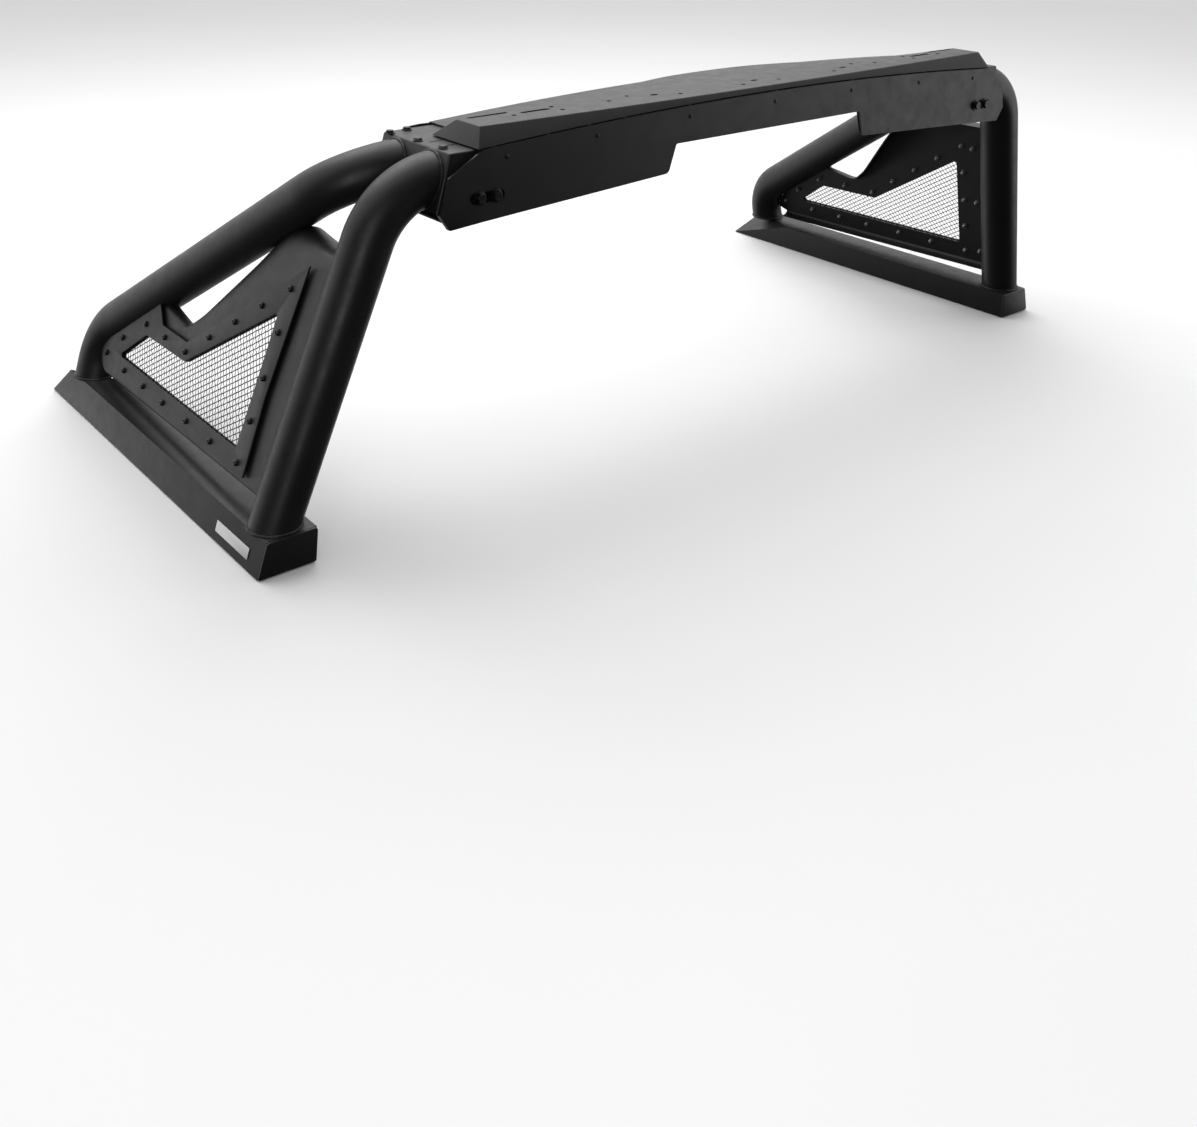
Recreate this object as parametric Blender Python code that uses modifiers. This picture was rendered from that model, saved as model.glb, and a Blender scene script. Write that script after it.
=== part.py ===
"""Bed-mounted sport bar for a full-size pickup, with a light mount that rises out of its crossbar.

Metres, +Z up, -Y towards the cab. The origin is on the ground plane of the rail pads, under the middle of the
rack's box. Both sides are alike: the right side (+X) is modelled, and the left side is its mirror image.
Every piece hangs from one empty at the middle of the rails, so the numbers below have y = 0 at mid-rail.
"""

import math

import bmesh
import bpy
from mathutils import Matrix, Vector

GAP = 0.0003  # clearance between pieces that touch
HALF_TURN = math.pi
ROUND_SIDES = 20
THROUGH = 0.010  # how far a cutter reaches past the sheet that it cuts
SLOT_ROUND = 0.49  # a slot's end radius, as a share of its width

# Base rails: a folded channel on the truck's bed rail
RAIL_MID_Y = 0.02747  # from the origin to the middle of the rails
RAIL_HALF = 0.3965
RAIL_HEIGHT = 0.0515
RAIL_TOP_X = (0.8012, 0.8770)  # inboard and outboard edges of the flat top
RAIL_FOOT_X = (0.8066, 0.8946)
RAIL_SHEET = 0.003
END_PLATE = 0.004
END_PLATE_RADII = (0.002, 0.002, 0.004, 0.004)
RAIL_LIFT = 0.001  # the pad stands this much proud of the channel
REAR_CUTS = (  # a point on each slanted rear facet, and its outward normal
    ((0.806, 0.372, 0.0), (-0.489, 0.268, 0.830)),
    ((0.8946, 0.3965, 0.0), (-0.196, 0.706, 0.680)),
)
PAD_X = (0.8125, 0.8850)
PAD_Y = (-0.385, 0.310)
PAD_TOP = 0.0042
PAD_CORNER = 0.006
PLATE_Z = (0.0045, 0.0095)
CLAMP_SLOTS_Y = (-0.300, 0.0, 0.250)
CLAMP_SLOT = (0.014, 0.044)

# Tubes: both lean inboard and end inside the crossbar
TUBE_RADIUS = 0.035
TUBE_WALL = 0.0025
TUBE_SIDES_FACTOR = 6  # gives sixteen sides
BEND_RADIUS = 0.115
BEND_STEPS = 7
TUBE_END_X = 0.500
BAR_Z = 0.511
FRONT_TUBE = (
    (0.8535, -0.3528, 0.030),
    (0.6777, -0.3939, BAR_Z),
    (TUBE_END_X, -0.3939, BAR_Z),
)
REAR_TUBE = (
    (0.8522, 0.3020, 0.030),
    (0.8231, 0.3020, 0.1261),
    (0.6811, -0.3082, BAR_Z),
    (TUBE_END_X, -0.3082, BAR_Z),
)

# Side panels: a leaning plane outboard of the tubes, x = PANEL_X - LEAN z - TOE y
PANEL_X = 0.8905
LEAN = 0.3712
TOE = 0.015
TRIM_SHEET = 0.003
MESH_THICKNESS = 0.003
PANEL_SHEET = 0.0025
OPENING = ((0.192, 0.1206), (0.113, 0.176), (-0.035, 0.180), (-0.263, 0.318), (-0.2495, 0.126))
OPENING_ROUND = 0.004
MESH_OUTLINE = ((0.224, 0.1115), (0.118, 0.1885), (-0.030, 0.1925), (-0.2795, 0.3445), (-0.2620, 0.1130))
TRIM_OUTLINE = (
    (0.2700, 0.1140),
    (0.2380, 0.0800),
    (0.1730, 0.0880),
    (-0.2885, 0.0978),
    (-0.2890, 0.2100),
    (-0.3094, 0.3912),
    (-0.0264, 0.2064),
    (0.0664, 0.2055),
    (0.1100, 0.2480),
    (0.2300, 0.1710),
)
TRIM_RADII = (0.030, 0.040, 0, 0.004, 0, 0, 0.004, 0, 0, 0)
PANEL_REAR_EDGE = ((0.2700, 0.0900), (0.2750, 0.1200), (0.2500, 0.1600))
ROLL_STEPS = 4
# Rolled edges, station by station: where the flat sheet ends, the corner that it would reach if it were not
# rolled, and how far inboard its free edge lies
FOOT_ROLL = (
    ((-0.3570, 0.0941), (-0.3570, 0.0861), 0.018),
    ((0.2450, 0.0813), (0.2450, 0.0733), 0.018),
)
NOTCH_ROLL = (  # down to the lowest point of the notch, up to the rear tube, and level to the front tube
    ((0.1120, 0.2290), (0.1120, 0.2400), 0.018),
    ((0.0100, 0.2110), (0.0050, 0.2235), 0.018),
    ((-0.0413, 0.2344), (-0.0305, 0.2537), 0.023),
    ((-0.1600, 0.3016), (-0.1256, 0.3623), 0.048),
    ((-0.1957, 0.3218), (-0.1550, 0.3950), 0.048),
    ((-0.2300, 0.3412), (-0.1945, 0.4252), 0.038),
    ((-0.2500, 0.3525), (-0.2244, 0.4332), 0.041),
    ((-0.3063, 0.3902), (-0.2994, 0.4240), 0.040),
    ((-0.3750, 0.3950), (-0.3745, 0.4214), 0.033),
)

# Crossbar: two skins that follow a shallow arch, with a pan between them
FRONT_FACE_Y = -0.4426
REAR_FACE_Y = -0.2630
SKIN_SHEET = 0.003
ARCH_TOP = 0.5676
ARCH_CURVE = 0.0593
ARCH_STEPS = 8
FRONT_LEDGE = (0.009, 0)  # depth, and the stations at each end that it leaves out
REAR_LEDGE = (0.075, 1)
FRONT_FACET = 0.009
REAR_FACET = 0.004
SKIN_TOP_X = 0.559
# The skins' lower edge: round the end, along the wing, and up to the narrow middle
FRONT_LOW_EDGE = (
    (0.6139, 0.5180),
    (0.6270, 0.4700),
    (0.6120, 0.4480),
    (0.5590, 0.4515),
    (0.2220, 0.4690),
    (0.2085, 0.5115),
)
REAR_LOW_EDGE = (  # leaves room for the rear tube's bend, and its wing is short
    (0.6069, 0.5180),
    (0.6200, 0.4700),
    (0.6050, 0.4480),
    (0.5590, 0.4515),
    (0.4450, 0.4574),
    (0.4315, 0.5115),
)
WING_ROUND = 0.009
WING_TIP = 0.003  # radius where the wing meets the narrow middle
SLOT_CENTRE = (0.5513, 0.4850)
SLOT_SIZE = (0.056, 0.015)
SLOT_BOLT_SPACING = 0.0266
PAN_SHEET = 0.003
PAN_FRONT = ((0.604, 0.4498), (0.222, 0.4708), (0.2086, 0.5128))
PAN_REAR = ((0.604, 0.4498), (0.445, 0.4585), (0.4320, 0.5128))
SKIN_CLEARANCE = 0.001
PAN_FRONT_CLEARANCE = 0.0035  # the slanting ends of the middle lean forwards by their own thickness

# Saddle: the folded bracket that both tubes pass into and the slot bolts clamp
SADDLE_SHEET = 0.002
SADDLE_Y = (-0.4330, -0.2702)
SADDLE_PROFILE = ((0.500, 0.5485), (0.6045, 0.5485), (0.6270, 0.4705), (0.500, 0.4705))
TUBE_CLEARANCE = 0.0005
SADDLE_BOLTS = ((0.603, -0.285), (0.573, -0.281), (0.597, -0.346), (0.595, -0.403))

# Hex bolts: radii of the flange and the hexagon, height of the head, and length of the shank under it
BOLT_FLANGE = 0.0015
SLOT_BOLT = (0.0100, 0.0075, 0.0075, 0.0140)
SLOT_SHANK = 0.0040
SADDLE_BOLT = (0.0072, 0.0058, 0.0040, 0.0016)
SADDLE_SHANK = 0.0030
HOLE_CLEARANCE = 0.0006

# Light mount: a shallow cover on a strut channel, lifted by two rods
COVER_TOP = 0.577
COVER_SHEET = 0.002
COVER_CLEARANCE = 0.002
COVER_HALF_TOP = 0.552
COVER_HALF_FOOT = 0.5655
COVER_FRONT_Y = -0.4422
COVER_FRONT_FLARE = 0.60
COVER_REAR_Y = -0.372
COVER_REAR_BULGE = 0.084
COVER_BULGE_WIDTH = 0.27
COVER_BULGE_POWER = 2.6
COVER_REAR_FLARE = (0.020, 0.75)
COVER_STATIONS = 20
COVER_SLOTS = ((0.5035, -0.375, 0.067), (0.4305, -0.388, 0.051), (0.214, -0.395, 0.014))
COVER_MID_SLOT = (0.0, -0.395, 0.014)
COVER_SLOT_WIDTH = 0.0075
COVER_HOLES = (
    (0.473, -0.3955),
    (0.395, -0.3790),
    (0.394, -0.4030),
    (0.300, -0.3930),
    (0.254, -0.3800),
    (0.174, -0.4100),
    (0.040, -0.4100),
)
COVER_HOLE_RADIUS = 0.0038
CHANNEL_HALF = 0.540
CHANNEL_Y = (-0.4180, -0.3780)
CHANNEL_Z = (0.5570, 0.5744)
CHANNEL_SHEET = 0.0025
LIFT_X = 0.400
LIFT_Y = -0.398
HOUSING_SIDE = 0.046
HOUSING_Z = (0.4658, 0.5480)
HOUSING_EDGE = 0.002
BORE_RADIUS = 0.0145
BORE_FLOOR = 0.004
BUSH_Z = (0.5290, 0.5475)
BUSH_CLEARANCE = 0.0006
ROD_RADIUS = 0.010
ROD_Z = (0.4720, 0.5567)
MOTOR_RADIUS = 0.018
MOTOR_LENGTH = 0.078
MOTOR_NECK = 0.0135
MOTOR_SHOULDER = 0.010
MOTOR_EDGE = 0.004
MOTOR_Z = 0.497

BADGE_SIZE = (0.0012, 0.0985, 0.0165)
BADGE_CENTRE = (-0.3090, 0.0217)
BADGE_EDGE = 0.0004

BLACK_STEEL = ((0.018, 0.018, 0.019), 0.0, 0.55)
FINISHES = {
    "coated steel": BLACK_STEEL,
    "zinc steel": ((0.45, 0.45, 0.44), 1.0, 0.38),
    "rubber": ((0.015, 0.015, 0.015), 0.0, 0.85),
    "nylon": ((0.60, 0.59, 0.55), 0.0, 0.50),
    "aluminium": ((0.62, 0.62, 0.63), 1.0, 0.35),
}


# ---------------------------------------------------------------- scene and small helpers


def clear_scene():
    for old in list(bpy.data.objects):
        bpy.data.objects.remove(old, do_unlink=True)


def new_collection(name):
    collection = bpy.data.collections.new(name)
    bpy.context.scene.collection.children.link(collection)
    return collection


clear_scene()
RACK = new_collection("headache_rack")
HELPERS = new_collection("cutters")
RAILS_MIDDLE = bpy.data.objects.new("rails_middle", None)
RAILS_MIDDLE.location = (0.0, RAIL_MID_Y, 0.0)
RACK.objects.link(RAILS_MIDDLE)


def paint(obj, finish):
    """A Principled material of the object's own."""
    colour, metallic, roughness = FINISHES[finish]
    material = bpy.data.materials.new(obj.name + "_" + finish.replace(" ", "_"))
    material.use_nodes = True
    shader = material.node_tree.nodes["Principled BSDF"]
    shader.inputs["Base Color"].default_value = (*colour, 1.0)
    shader.inputs["Metallic"].default_value = metallic
    shader.inputs["Roughness"].default_value = roughness
    obj.data.materials.clear()
    obj.data.materials.append(material)


def place(obj, finish=None):
    """Hang the object from the empty: a painted piece of the rack or, with no finish, a hidden helper."""
    obj.parent = RAILS_MIDDLE
    if finish is None:
        HELPERS.objects.link(obj)
        obj.hide_render = True
        obj.display_type = "WIRE"
    else:
        RACK.objects.link(obj)
        paint(obj, finish)
        obj.data.shade_smooth()
        obj.data.set_sharp_from_angle(angle=math.radians(35))
    return obj


def mesh_of(obj):
    """A copy of the object's mesh with its modifiers applied, in its own space."""
    bpy.context.view_layer.update()
    graph = bpy.context.evaluated_depsgraph_get()
    return bpy.data.meshes.new_from_object(obj.evaluated_get(graph))


def tidy_mesh(bm):
    """Weld a solid's points, merge its coplanar triangles and turn its faces outwards."""
    bmesh.ops.remove_doubles(bm, verts=bm.verts, dist=1e-6)
    bmesh.ops.dissolve_limit(bm, angle_limit=0.001, verts=bm.verts, edges=bm.edges)
    bmesh.ops.recalc_face_normals(bm, faces=bm.faces)


def from_curve(curve_object):
    """The curve object's shape as a welded mesh object of the same name and place."""
    HELPERS.objects.link(curve_object)
    mesh = mesh_of(curve_object)
    name = curve_object.name
    matrix = curve_object.matrix_basis.copy()
    bpy.data.objects.remove(curve_object)
    bm = bmesh.new()
    bm.from_mesh(mesh)
    tidy_mesh(bm)
    bm.to_mesh(mesh)
    bm.free()
    obj = bpy.data.objects.new(name, mesh)
    obj.matrix_basis = matrix
    return obj


def add_spline(curve, points, cyclic):
    spline = curve.splines.new("POLY")
    spline.points.add(len(points) - 1)
    for target, point in zip(spline.points, points):
        target.co = (*Vector(point).to_3d(), 1.0)
    spline.use_cyclic_u = cyclic


def plate(name, outlines, thickness, matrix):
    """A flat solid on the matrix's plane: the first outline filled, the outlines inside it left open."""
    curve = bpy.data.curves.new(name, "CURVE")
    curve.dimensions = "2D"
    curve.fill_mode = "BOTH"
    curve.extrude = thickness / 2
    for outline in outlines:
        add_spline(curve, outline, True)
    obj = bpy.data.objects.new(name, curve)
    obj.matrix_basis = matrix
    return from_curve(obj)


def bar(name, path, radius, sides_factor, closed_ends=True):
    """A round bar along a path, solid or as an open skin."""
    curve = bpy.data.curves.new(name, "CURVE")
    curve.dimensions = "3D"
    curve.bevel_depth = radius
    curve.bevel_resolution = sides_factor
    curve.use_fill_caps = closed_ends
    add_spline(curve, path, False)
    return from_curve(bpy.data.objects.new(name, curve))


def rounded(corners, radius, steps=5, closed=True):
    """The corners as points, each corner with a radius turned into an arc."""
    last = len(corners) - 1
    radii = radius if isinstance(radius, tuple) else (radius,) * len(corners)
    points = []
    for i, (corner, r) in enumerate(zip(corners, radii)):
        here = Vector(corner)
        if r == 0 or (not closed and i in (0, last)):
            points.append(here)
            continue
        back = (Vector(corners[i - 1]) - here).normalized()
        ahead = (Vector(corners[(i + 1) % len(corners)]) - here).normalized()
        half = back.angle(ahead) / 2
        centre = here + (back + ahead).normalized() * (r / math.sin(half))
        start = here + back * (r / math.tan(half)) - centre
        end = here + ahead * (r / math.tan(half)) - centre
        turn = start.angle(end)
        for step in range(steps + 1):
            t = step / steps
            near = start * math.sin((1 - t) * turn)
            far = end * math.sin(t * turn)
            points.append(centre + (near + far) / math.sin(turn))
    return points


def circle(centre, radius, sides=10):
    angles = [2 * HALF_TURN * i / sides for i in range(sides)]
    return [(centre[0] + radius * math.cos(a), centre[1] + radius * math.sin(a)) for a in angles]


def slot_outline(centre, length, width):
    """A slot with round ends, along the first axis."""
    x, y = centre
    half = length / 2
    low, high = y - width / 2, y + width / 2
    corners = ((x - half, low), (x + half, low), (x + half, high), (x - half, high))
    return rounded(corners, width * SLOT_ROUND, 3)


def upright(y):
    """The frame of a plate that stands across the truck: its own x and y are the rack's x and z."""
    return Matrix.Translation((0, y, 0)) @ Matrix.Rotation(HALF_TURN / 2, 4, "X")


def level(z):
    return Matrix.Translation((0, 0, z))


def panel_frame(depth):
    """The frame of a sheet in the right side panel, depth below its face: x along +Y, y up, z outboard."""
    along = Vector((-TOE, 1, 0)).normalized()
    outward = along.cross(Vector((-LEAN, 0, 1))).normalized()
    up = outward.cross(along)
    origin = Vector((PANEL_X, 0, 0)) - outward * depth
    return Matrix.Translation(origin) @ Matrix((along, up, outward)).transposed().to_4x4()


def on_panel(points):
    """Points (y, z) of the side panel, in the panel's own frame."""
    stretch = math.hypot(1, LEAN)
    return [(y, z * stretch) for y, z in points]


def solidify(obj, thickness):
    """Thicken the open shell inwards."""
    modifier = obj.modifiers.new("sheet", "SOLIDIFY")
    modifier.thickness = thickness
    modifier.offset = -1
    modifier.use_even_offset = True


def cut(obj, *cutters):
    for cutter in cutters:
        modifier = obj.modifiers.new("cut_" + cutter.name, "BOOLEAN")
        modifier.operation = "DIFFERENCE"
        modifier.object = cutter


def join(obj, *others):
    for other in others:
        modifier = obj.modifiers.new("join_" + other.name, "BOOLEAN")
        modifier.operation = "UNION"
        modifier.object = other


def mirrored(obj, finish):
    """The left twin of a right-hand piece."""
    mesh = mesh_of(obj)
    mesh.transform(Matrix.Scale(-1, 4, (1, 0, 0)) @ obj.matrix_basis)
    mesh.flip_normals()
    twin = bpy.data.objects.new(obj.name.replace("right_", "left_"), mesh)
    return place(twin, finish)


def both_sides(obj, finish):
    place(obj, finish)
    mirrored(obj, finish)


def edit(obj):
    bm = bmesh.new()
    bm.from_mesh(obj.data)
    return bm


def finish_edit(obj, bm):
    bm.to_mesh(obj.data)
    bm.free()


def cylinder(name, radius, low, high, sides=ROUND_SIDES):
    """An upright cylinder between two points of one vertical line."""
    mesh = bpy.data.meshes.new(name)
    bm = bmesh.new()
    height = high[2] - low[2]
    centre = Matrix.Translation((low[0], low[1], low[2] + height / 2))
    bmesh.ops.create_cone(
        bm, cap_ends=True, segments=sides, radius1=radius, radius2=radius, depth=height, matrix=centre
    )
    bm.to_mesh(mesh)
    bm.free()
    return bpy.data.objects.new(name, mesh)


def block(name, low, high, bevel=0.0):
    """A box between two corners, its edges rounded by a Bevel."""
    mesh = bpy.data.meshes.new(name)
    bm = bmesh.new()
    size = Vector(high) - Vector(low)
    centre = (Vector(high) + Vector(low)) / 2
    bmesh.ops.create_cube(bm, size=1.0, matrix=Matrix.Translation(centre) @ Matrix.Diagonal(size).to_4x4())
    bm.to_mesh(mesh)
    bm.free()
    obj = bpy.data.objects.new(name, mesh)
    if bevel:
        modifier = obj.modifiers.new("edges", "BEVEL")
        modifier.width = bevel
        modifier.segments = 2
    return obj


# ---------------------------------------------------------------- legs


def rail_profile(bottom, inset=0.0):
    """The rail's section (x, z) from a height up to its top, or the section of the space inside its sheet."""
    top = RAIL_HEIGHT - inset
    corners = []
    for side, z in ((0, bottom), (1, bottom), (1, top), (0, top)):
        lean = (RAIL_TOP_X[side] - RAIL_FOOT_X[side]) / RAIL_HEIGHT
        inwards = inset * math.hypot(1, lean) * (1 - 2 * side)
        corners.append((RAIL_FOOT_X[side] + lean * z + inwards, z))
    return corners


def rail_solid(name, bottom, front, inset=0.0):
    """A bar of the rail's section with its two slanted facets at the rear, each moved in by the inset."""
    length = RAIL_HALF - front
    solid = plate(name, [rail_profile(bottom, inset)], length, upright(front + length / 2))
    solid.data.transform(solid.matrix_basis)
    solid.matrix_basis = Matrix()
    bm = edit(solid)
    for point, normal in REAR_CUTS:
        everything = bm.verts[:] + bm.edges[:] + bm.faces[:]
        facet_point = Vector(point) - Vector(normal) * inset
        bmesh.ops.bisect_plane(bm, geom=everything, plane_co=facet_point, plane_no=normal, clear_outer=True)
        rim = [edge for edge in bm.edges if edge.is_boundary]
        bmesh.ops.holes_fill(bm, edges=rim)
    tidy_mesh(bm)
    finish_edit(solid, bm)
    return solid


def base_rail():
    """The folded channel: open below, and in front, where the end plate closes it."""
    front = -RAIL_HALF + END_PLATE + GAP
    rail = rail_solid("right_base_rail", RAIL_LIFT, front)
    inside = rail_solid("rail_inside", -THROUGH, front - THROUGH, RAIL_SHEET)
    cut(rail, place(inside))
    both_sides(rail, "coated steel")


def rail_end_plate():
    middle = -RAIL_HALF + END_PLATE / 2
    outline = rounded(rail_profile(RAIL_LIFT), END_PLATE_RADII, 3)
    both_sides(plate("right_rail_end_plate", [outline], END_PLATE, upright(middle)), "coated steel")


def rail_foot_sheet(name, z_low, z_high, finish):
    """A flat bar inside the rail with the slots of the bed clamps."""
    corners = ((PAD_X[0], PAD_Y[0]), (PAD_X[1], PAD_Y[0]), (PAD_X[1], PAD_Y[1]), (PAD_X[0], PAD_Y[1]))
    outlines = [rounded(corners, PAD_CORNER, 3)]
    middle_x = sum(PAD_X) / 2
    for y in CLAMP_SLOTS_Y:
        along_y = slot_outline((y, -middle_x), CLAMP_SLOT[1], CLAMP_SLOT[0])
        outlines.append([(-v, u) for u, v in along_y])
    both_sides(plate(name, outlines, z_high - z_low, level((z_low + z_high) / 2)), finish)


def tube(name, corners):
    """A bent tube, cut flat where it stands on the rail, and open at both ends."""
    path = rounded(corners, BEND_RADIUS, BEND_STEPS, closed=False)
    skin = bar(name, path, TUBE_RADIUS, TUBE_SIDES_FACTOR, closed_ends=False)
    solidify(skin, TUBE_WALL)
    cut(skin, GROUND_CUTTER)
    both_sides(skin, "coated steel")


def tube_space(name, corners, clearance):
    """The solid space that a tube fills, to cut its neighbours with."""
    path = rounded(corners, BEND_RADIUS, BEND_STEPS, closed=False)
    return place(bar(name, path, TUBE_RADIUS + clearance, TUBE_SIDES_FACTOR))


GROUND_CUTTER = place(block("below_rail_top", (0.7, -0.5, -THROUGH), (1.0, 0.5, RAIL_HEIGHT + GAP)))
TUBE_SPACES = (
    tube_space("front_tube_space", FRONT_TUBE, TUBE_CLEARANCE),
    tube_space("rear_tube_space", REAR_TUBE, TUBE_CLEARANCE),
)


def trim_plate():
    """The flat plate that is bolted over the mesh."""
    outline = rounded([Vector(p) for p in on_panel(TRIM_OUTLINE)], TRIM_RADII)
    opening = rounded([Vector(p) for p in on_panel(OPENING)], OPENING_ROUND, 2)
    piece = plate("right_trim_plate", [outline, opening], TRIM_SHEET, panel_frame(TRIM_SHEET / 2))
    cut(piece, *TUBE_SPACES)
    both_sides(piece, "coated steel")


def mesh_panel():
    """The woven mesh as the flat sheet that it fills."""
    depth = TRIM_SHEET + GAP + MESH_THICKNESS / 2
    outline = on_panel(MESH_OUTLINE)
    both_sides(plate("right_mesh_panel", [outline], MESH_THICKNESS, panel_frame(depth)), "coated steel")


def rolled_section(station):
    """The quadratic curve across a rolled edge, from the flat sheet to the free edge."""
    (fold, corner), depth = on_panel(station[:2]), station[2]
    flat_end = Vector((*fold, 0))
    bend = Vector((*corner, 0))
    free_end = Vector((*corner, -depth))
    steps = [i / ROLL_STEPS for i in range(ROLL_STEPS + 1)]
    return [flat_end * (1 - t) ** 2 + bend * (2 * t * (1 - t)) + free_end * t**2 for t in steps]


def side_panel():
    """The sheet behind the mesh, its edges rolled inboard and fitted to the tubes."""
    depth = TRIM_SHEET + MESH_THICKNESS + 2 * GAP
    mesh = bpy.data.meshes.new("right_side_panel")
    bm = bmesh.new()
    runs = []
    for roll in (FOOT_ROLL, NOTCH_ROLL):
        runs.append([[bm.verts.new(point) for point in rolled_section(station)] for station in roll])
    rear_edge = [bm.verts.new((*point, 0)) for point in on_panel(PANEL_REAR_EDGE)]
    foot, notch = runs
    bm.faces.new([row[0] for row in foot] + rear_edge + [row[0] for row in notch])
    for rows in runs:
        for row, following in zip(rows, rows[1:]):
            for k in range(ROLL_STEPS):
                bm.faces.new((row[k], row[k + 1], following[k + 1], following[k]))
    bmesh.ops.recalc_face_normals(bm, faces=bm.faces)
    flat = max(bm.faces, key=lambda face: face.calc_area())
    if flat.normal.z < 0:
        bmesh.ops.reverse_faces(bm, faces=bm.faces)
    bm.to_mesh(mesh)
    bm.free()
    panel = bpy.data.objects.new("right_side_panel", mesh)
    panel.matrix_basis = panel_frame(depth)
    solidify(panel, PANEL_SHEET)
    opening = rounded([Vector(p) for p in on_panel(OPENING)], OPENING_ROUND, 2)
    window = place(plate("mesh_window", [opening], 2 * THROUGH, panel_frame(depth)))
    cut(panel, window, *TUBE_SPACES, GROUND_CUTTER)
    both_sides(panel, "coated steel")


def saddle():
    """Top plate, end wall and two cheeks, open below and inboard, with holes for the tubes and the bolts."""
    front, rear = SADDLE_Y
    piece = plate("right_saddle", [SADDLE_PROFILE], rear - front, upright((front + rear) / 2))
    piece.data.transform(piece.matrix_basis)
    piece.matrix_basis = Matrix()
    bm = edit(piece)
    openings = [face for face in bm.faces if face.normal.z < -0.9 or face.normal.x < -0.9]
    bmesh.ops.delete(bm, geom=openings, context="FACES")
    finish_edit(piece, bm)
    solidify(piece, SADDLE_SHEET)
    holes = [circle((x, SLOT_CENTRE[1]), SLOT_SHANK + HOLE_CLEARANCE) for x in slot_bolt_places()]
    through = place(plate("slot_bolt_holes", holes, rear - front + THROUGH, upright((front + rear) / 2)))
    screws = [circle(at, SADDLE_SHANK + HOLE_CLEARANCE) for at in SADDLE_BOLTS]
    down = place(plate("saddle_bolt_holes", screws, THROUGH, level(SADDLE_PROFILE[0][1])))
    cut(piece, through, down, *TUBE_SPACES)
    both_sides(piece, "coated steel")


def slot_bolt_places():
    return [SLOT_CENTRE[0] + side * SLOT_BOLT_SPACING / 2 for side in (-1, 1)]


def hex_bolt(name, frame, sizes, shank_radius):
    """A flanged hex bolt along the frame's z: its flange sits on the frame's plane, its shank goes below."""
    flange_radius, hex_radius, head, shank = sizes
    overlap = BOLT_FLANGE / 2
    body = cylinder(name, shank_radius, (0, 0, -shank), (0, 0, overlap), 10)
    washer = cylinder(name + "_flange", flange_radius, (0, 0, 0), (0, 0, BOLT_FLANGE), 16)
    hexagon = cylinder(name + "_hexagon", hex_radius, (0, 0, overlap), (0, 0, head), 6)
    for piece in (body, washer, hexagon):
        piece.matrix_basis = frame
    place(washer)
    place(hexagon)
    join(body, washer, hexagon)
    both_sides(body, "coated steel")


def bolts():
    """The slot bolts in front and behind, and the bolts on top of the saddle."""
    x_inner, x_outer = slot_bolt_places()
    faces = (
        ("front", Matrix.Translation((0, FRONT_FACE_Y - GAP, 0)), Matrix.Rotation(HALF_TURN / 2, 4, "X")),
        ("rear", Matrix.Translation((0, REAR_FACE_Y + GAP, 0)), Matrix.Rotation(-HALF_TURN / 2, 4, "X")),
    )
    for where, shift, turn in faces:
        for label, x in (("inner", x_inner), ("outer", x_outer)):
            name = f"right_{where}_slot_bolt_{label}"
            at = Matrix.Translation((x, 0, SLOT_CENTRE[1]))
            hex_bolt(name, shift @ at @ turn, SLOT_BOLT, SLOT_SHANK)
    for index, (x, y) in enumerate(SADDLE_BOLTS):
        frame = Matrix.Translation((x, y, SADDLE_PROFILE[0][1] + GAP))
        hex_bolt(f"right_saddle_bolt_{index + 1}", frame, SADDLE_BOLT, SADDLE_SHANK)


def badge():
    """A blank name plate on the outer face of the left rail."""
    rise = RAIL_HEIGHT
    run = RAIL_FOOT_X[1] - RAIL_TOP_X[1]
    lean = math.atan2(run, rise)
    y, z = BADGE_CENTRE
    face_x = RAIL_FOOT_X[1] - run * z / rise
    half = Vector(BADGE_SIZE) / 2
    piece = block("badge_plate", -half, half, BADGE_EDGE)
    outward = Vector((-math.cos(lean), 0, math.sin(lean)))
    centre = Vector((-face_x, y, z)) + outward * (GAP + half.x)
    piece.matrix_basis = Matrix.Translation(centre) @ Matrix.Rotation(lean, 4, "Y")
    place(piece, "aluminium")


# ---------------------------------------------------------------- crossbar


def arch(x):
    """Height of the skins' top edge."""
    return ARCH_TOP - ARCH_CURVE * x * x


def skin_outline(low_edge):
    """The skin's outline (x, z): the arched top from right to left, then the left and right lower edges."""
    stations = [SKIN_TOP_X * (1 - i / ARCH_STEPS) for i in range(2 * ARCH_STEPS + 1)]
    top = [Vector((x, arch(x))) for x in stations]
    corners = [*low_edge, (0, low_edge[-1][1])]
    right = rounded(corners, (0, 0, 0, 0, WING_ROUND, WING_TIP, 0), 4, closed=False)[:-1]
    left = [Vector((-p.x, p.y)) for p in right]
    return top, left, list(reversed(right))


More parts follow.
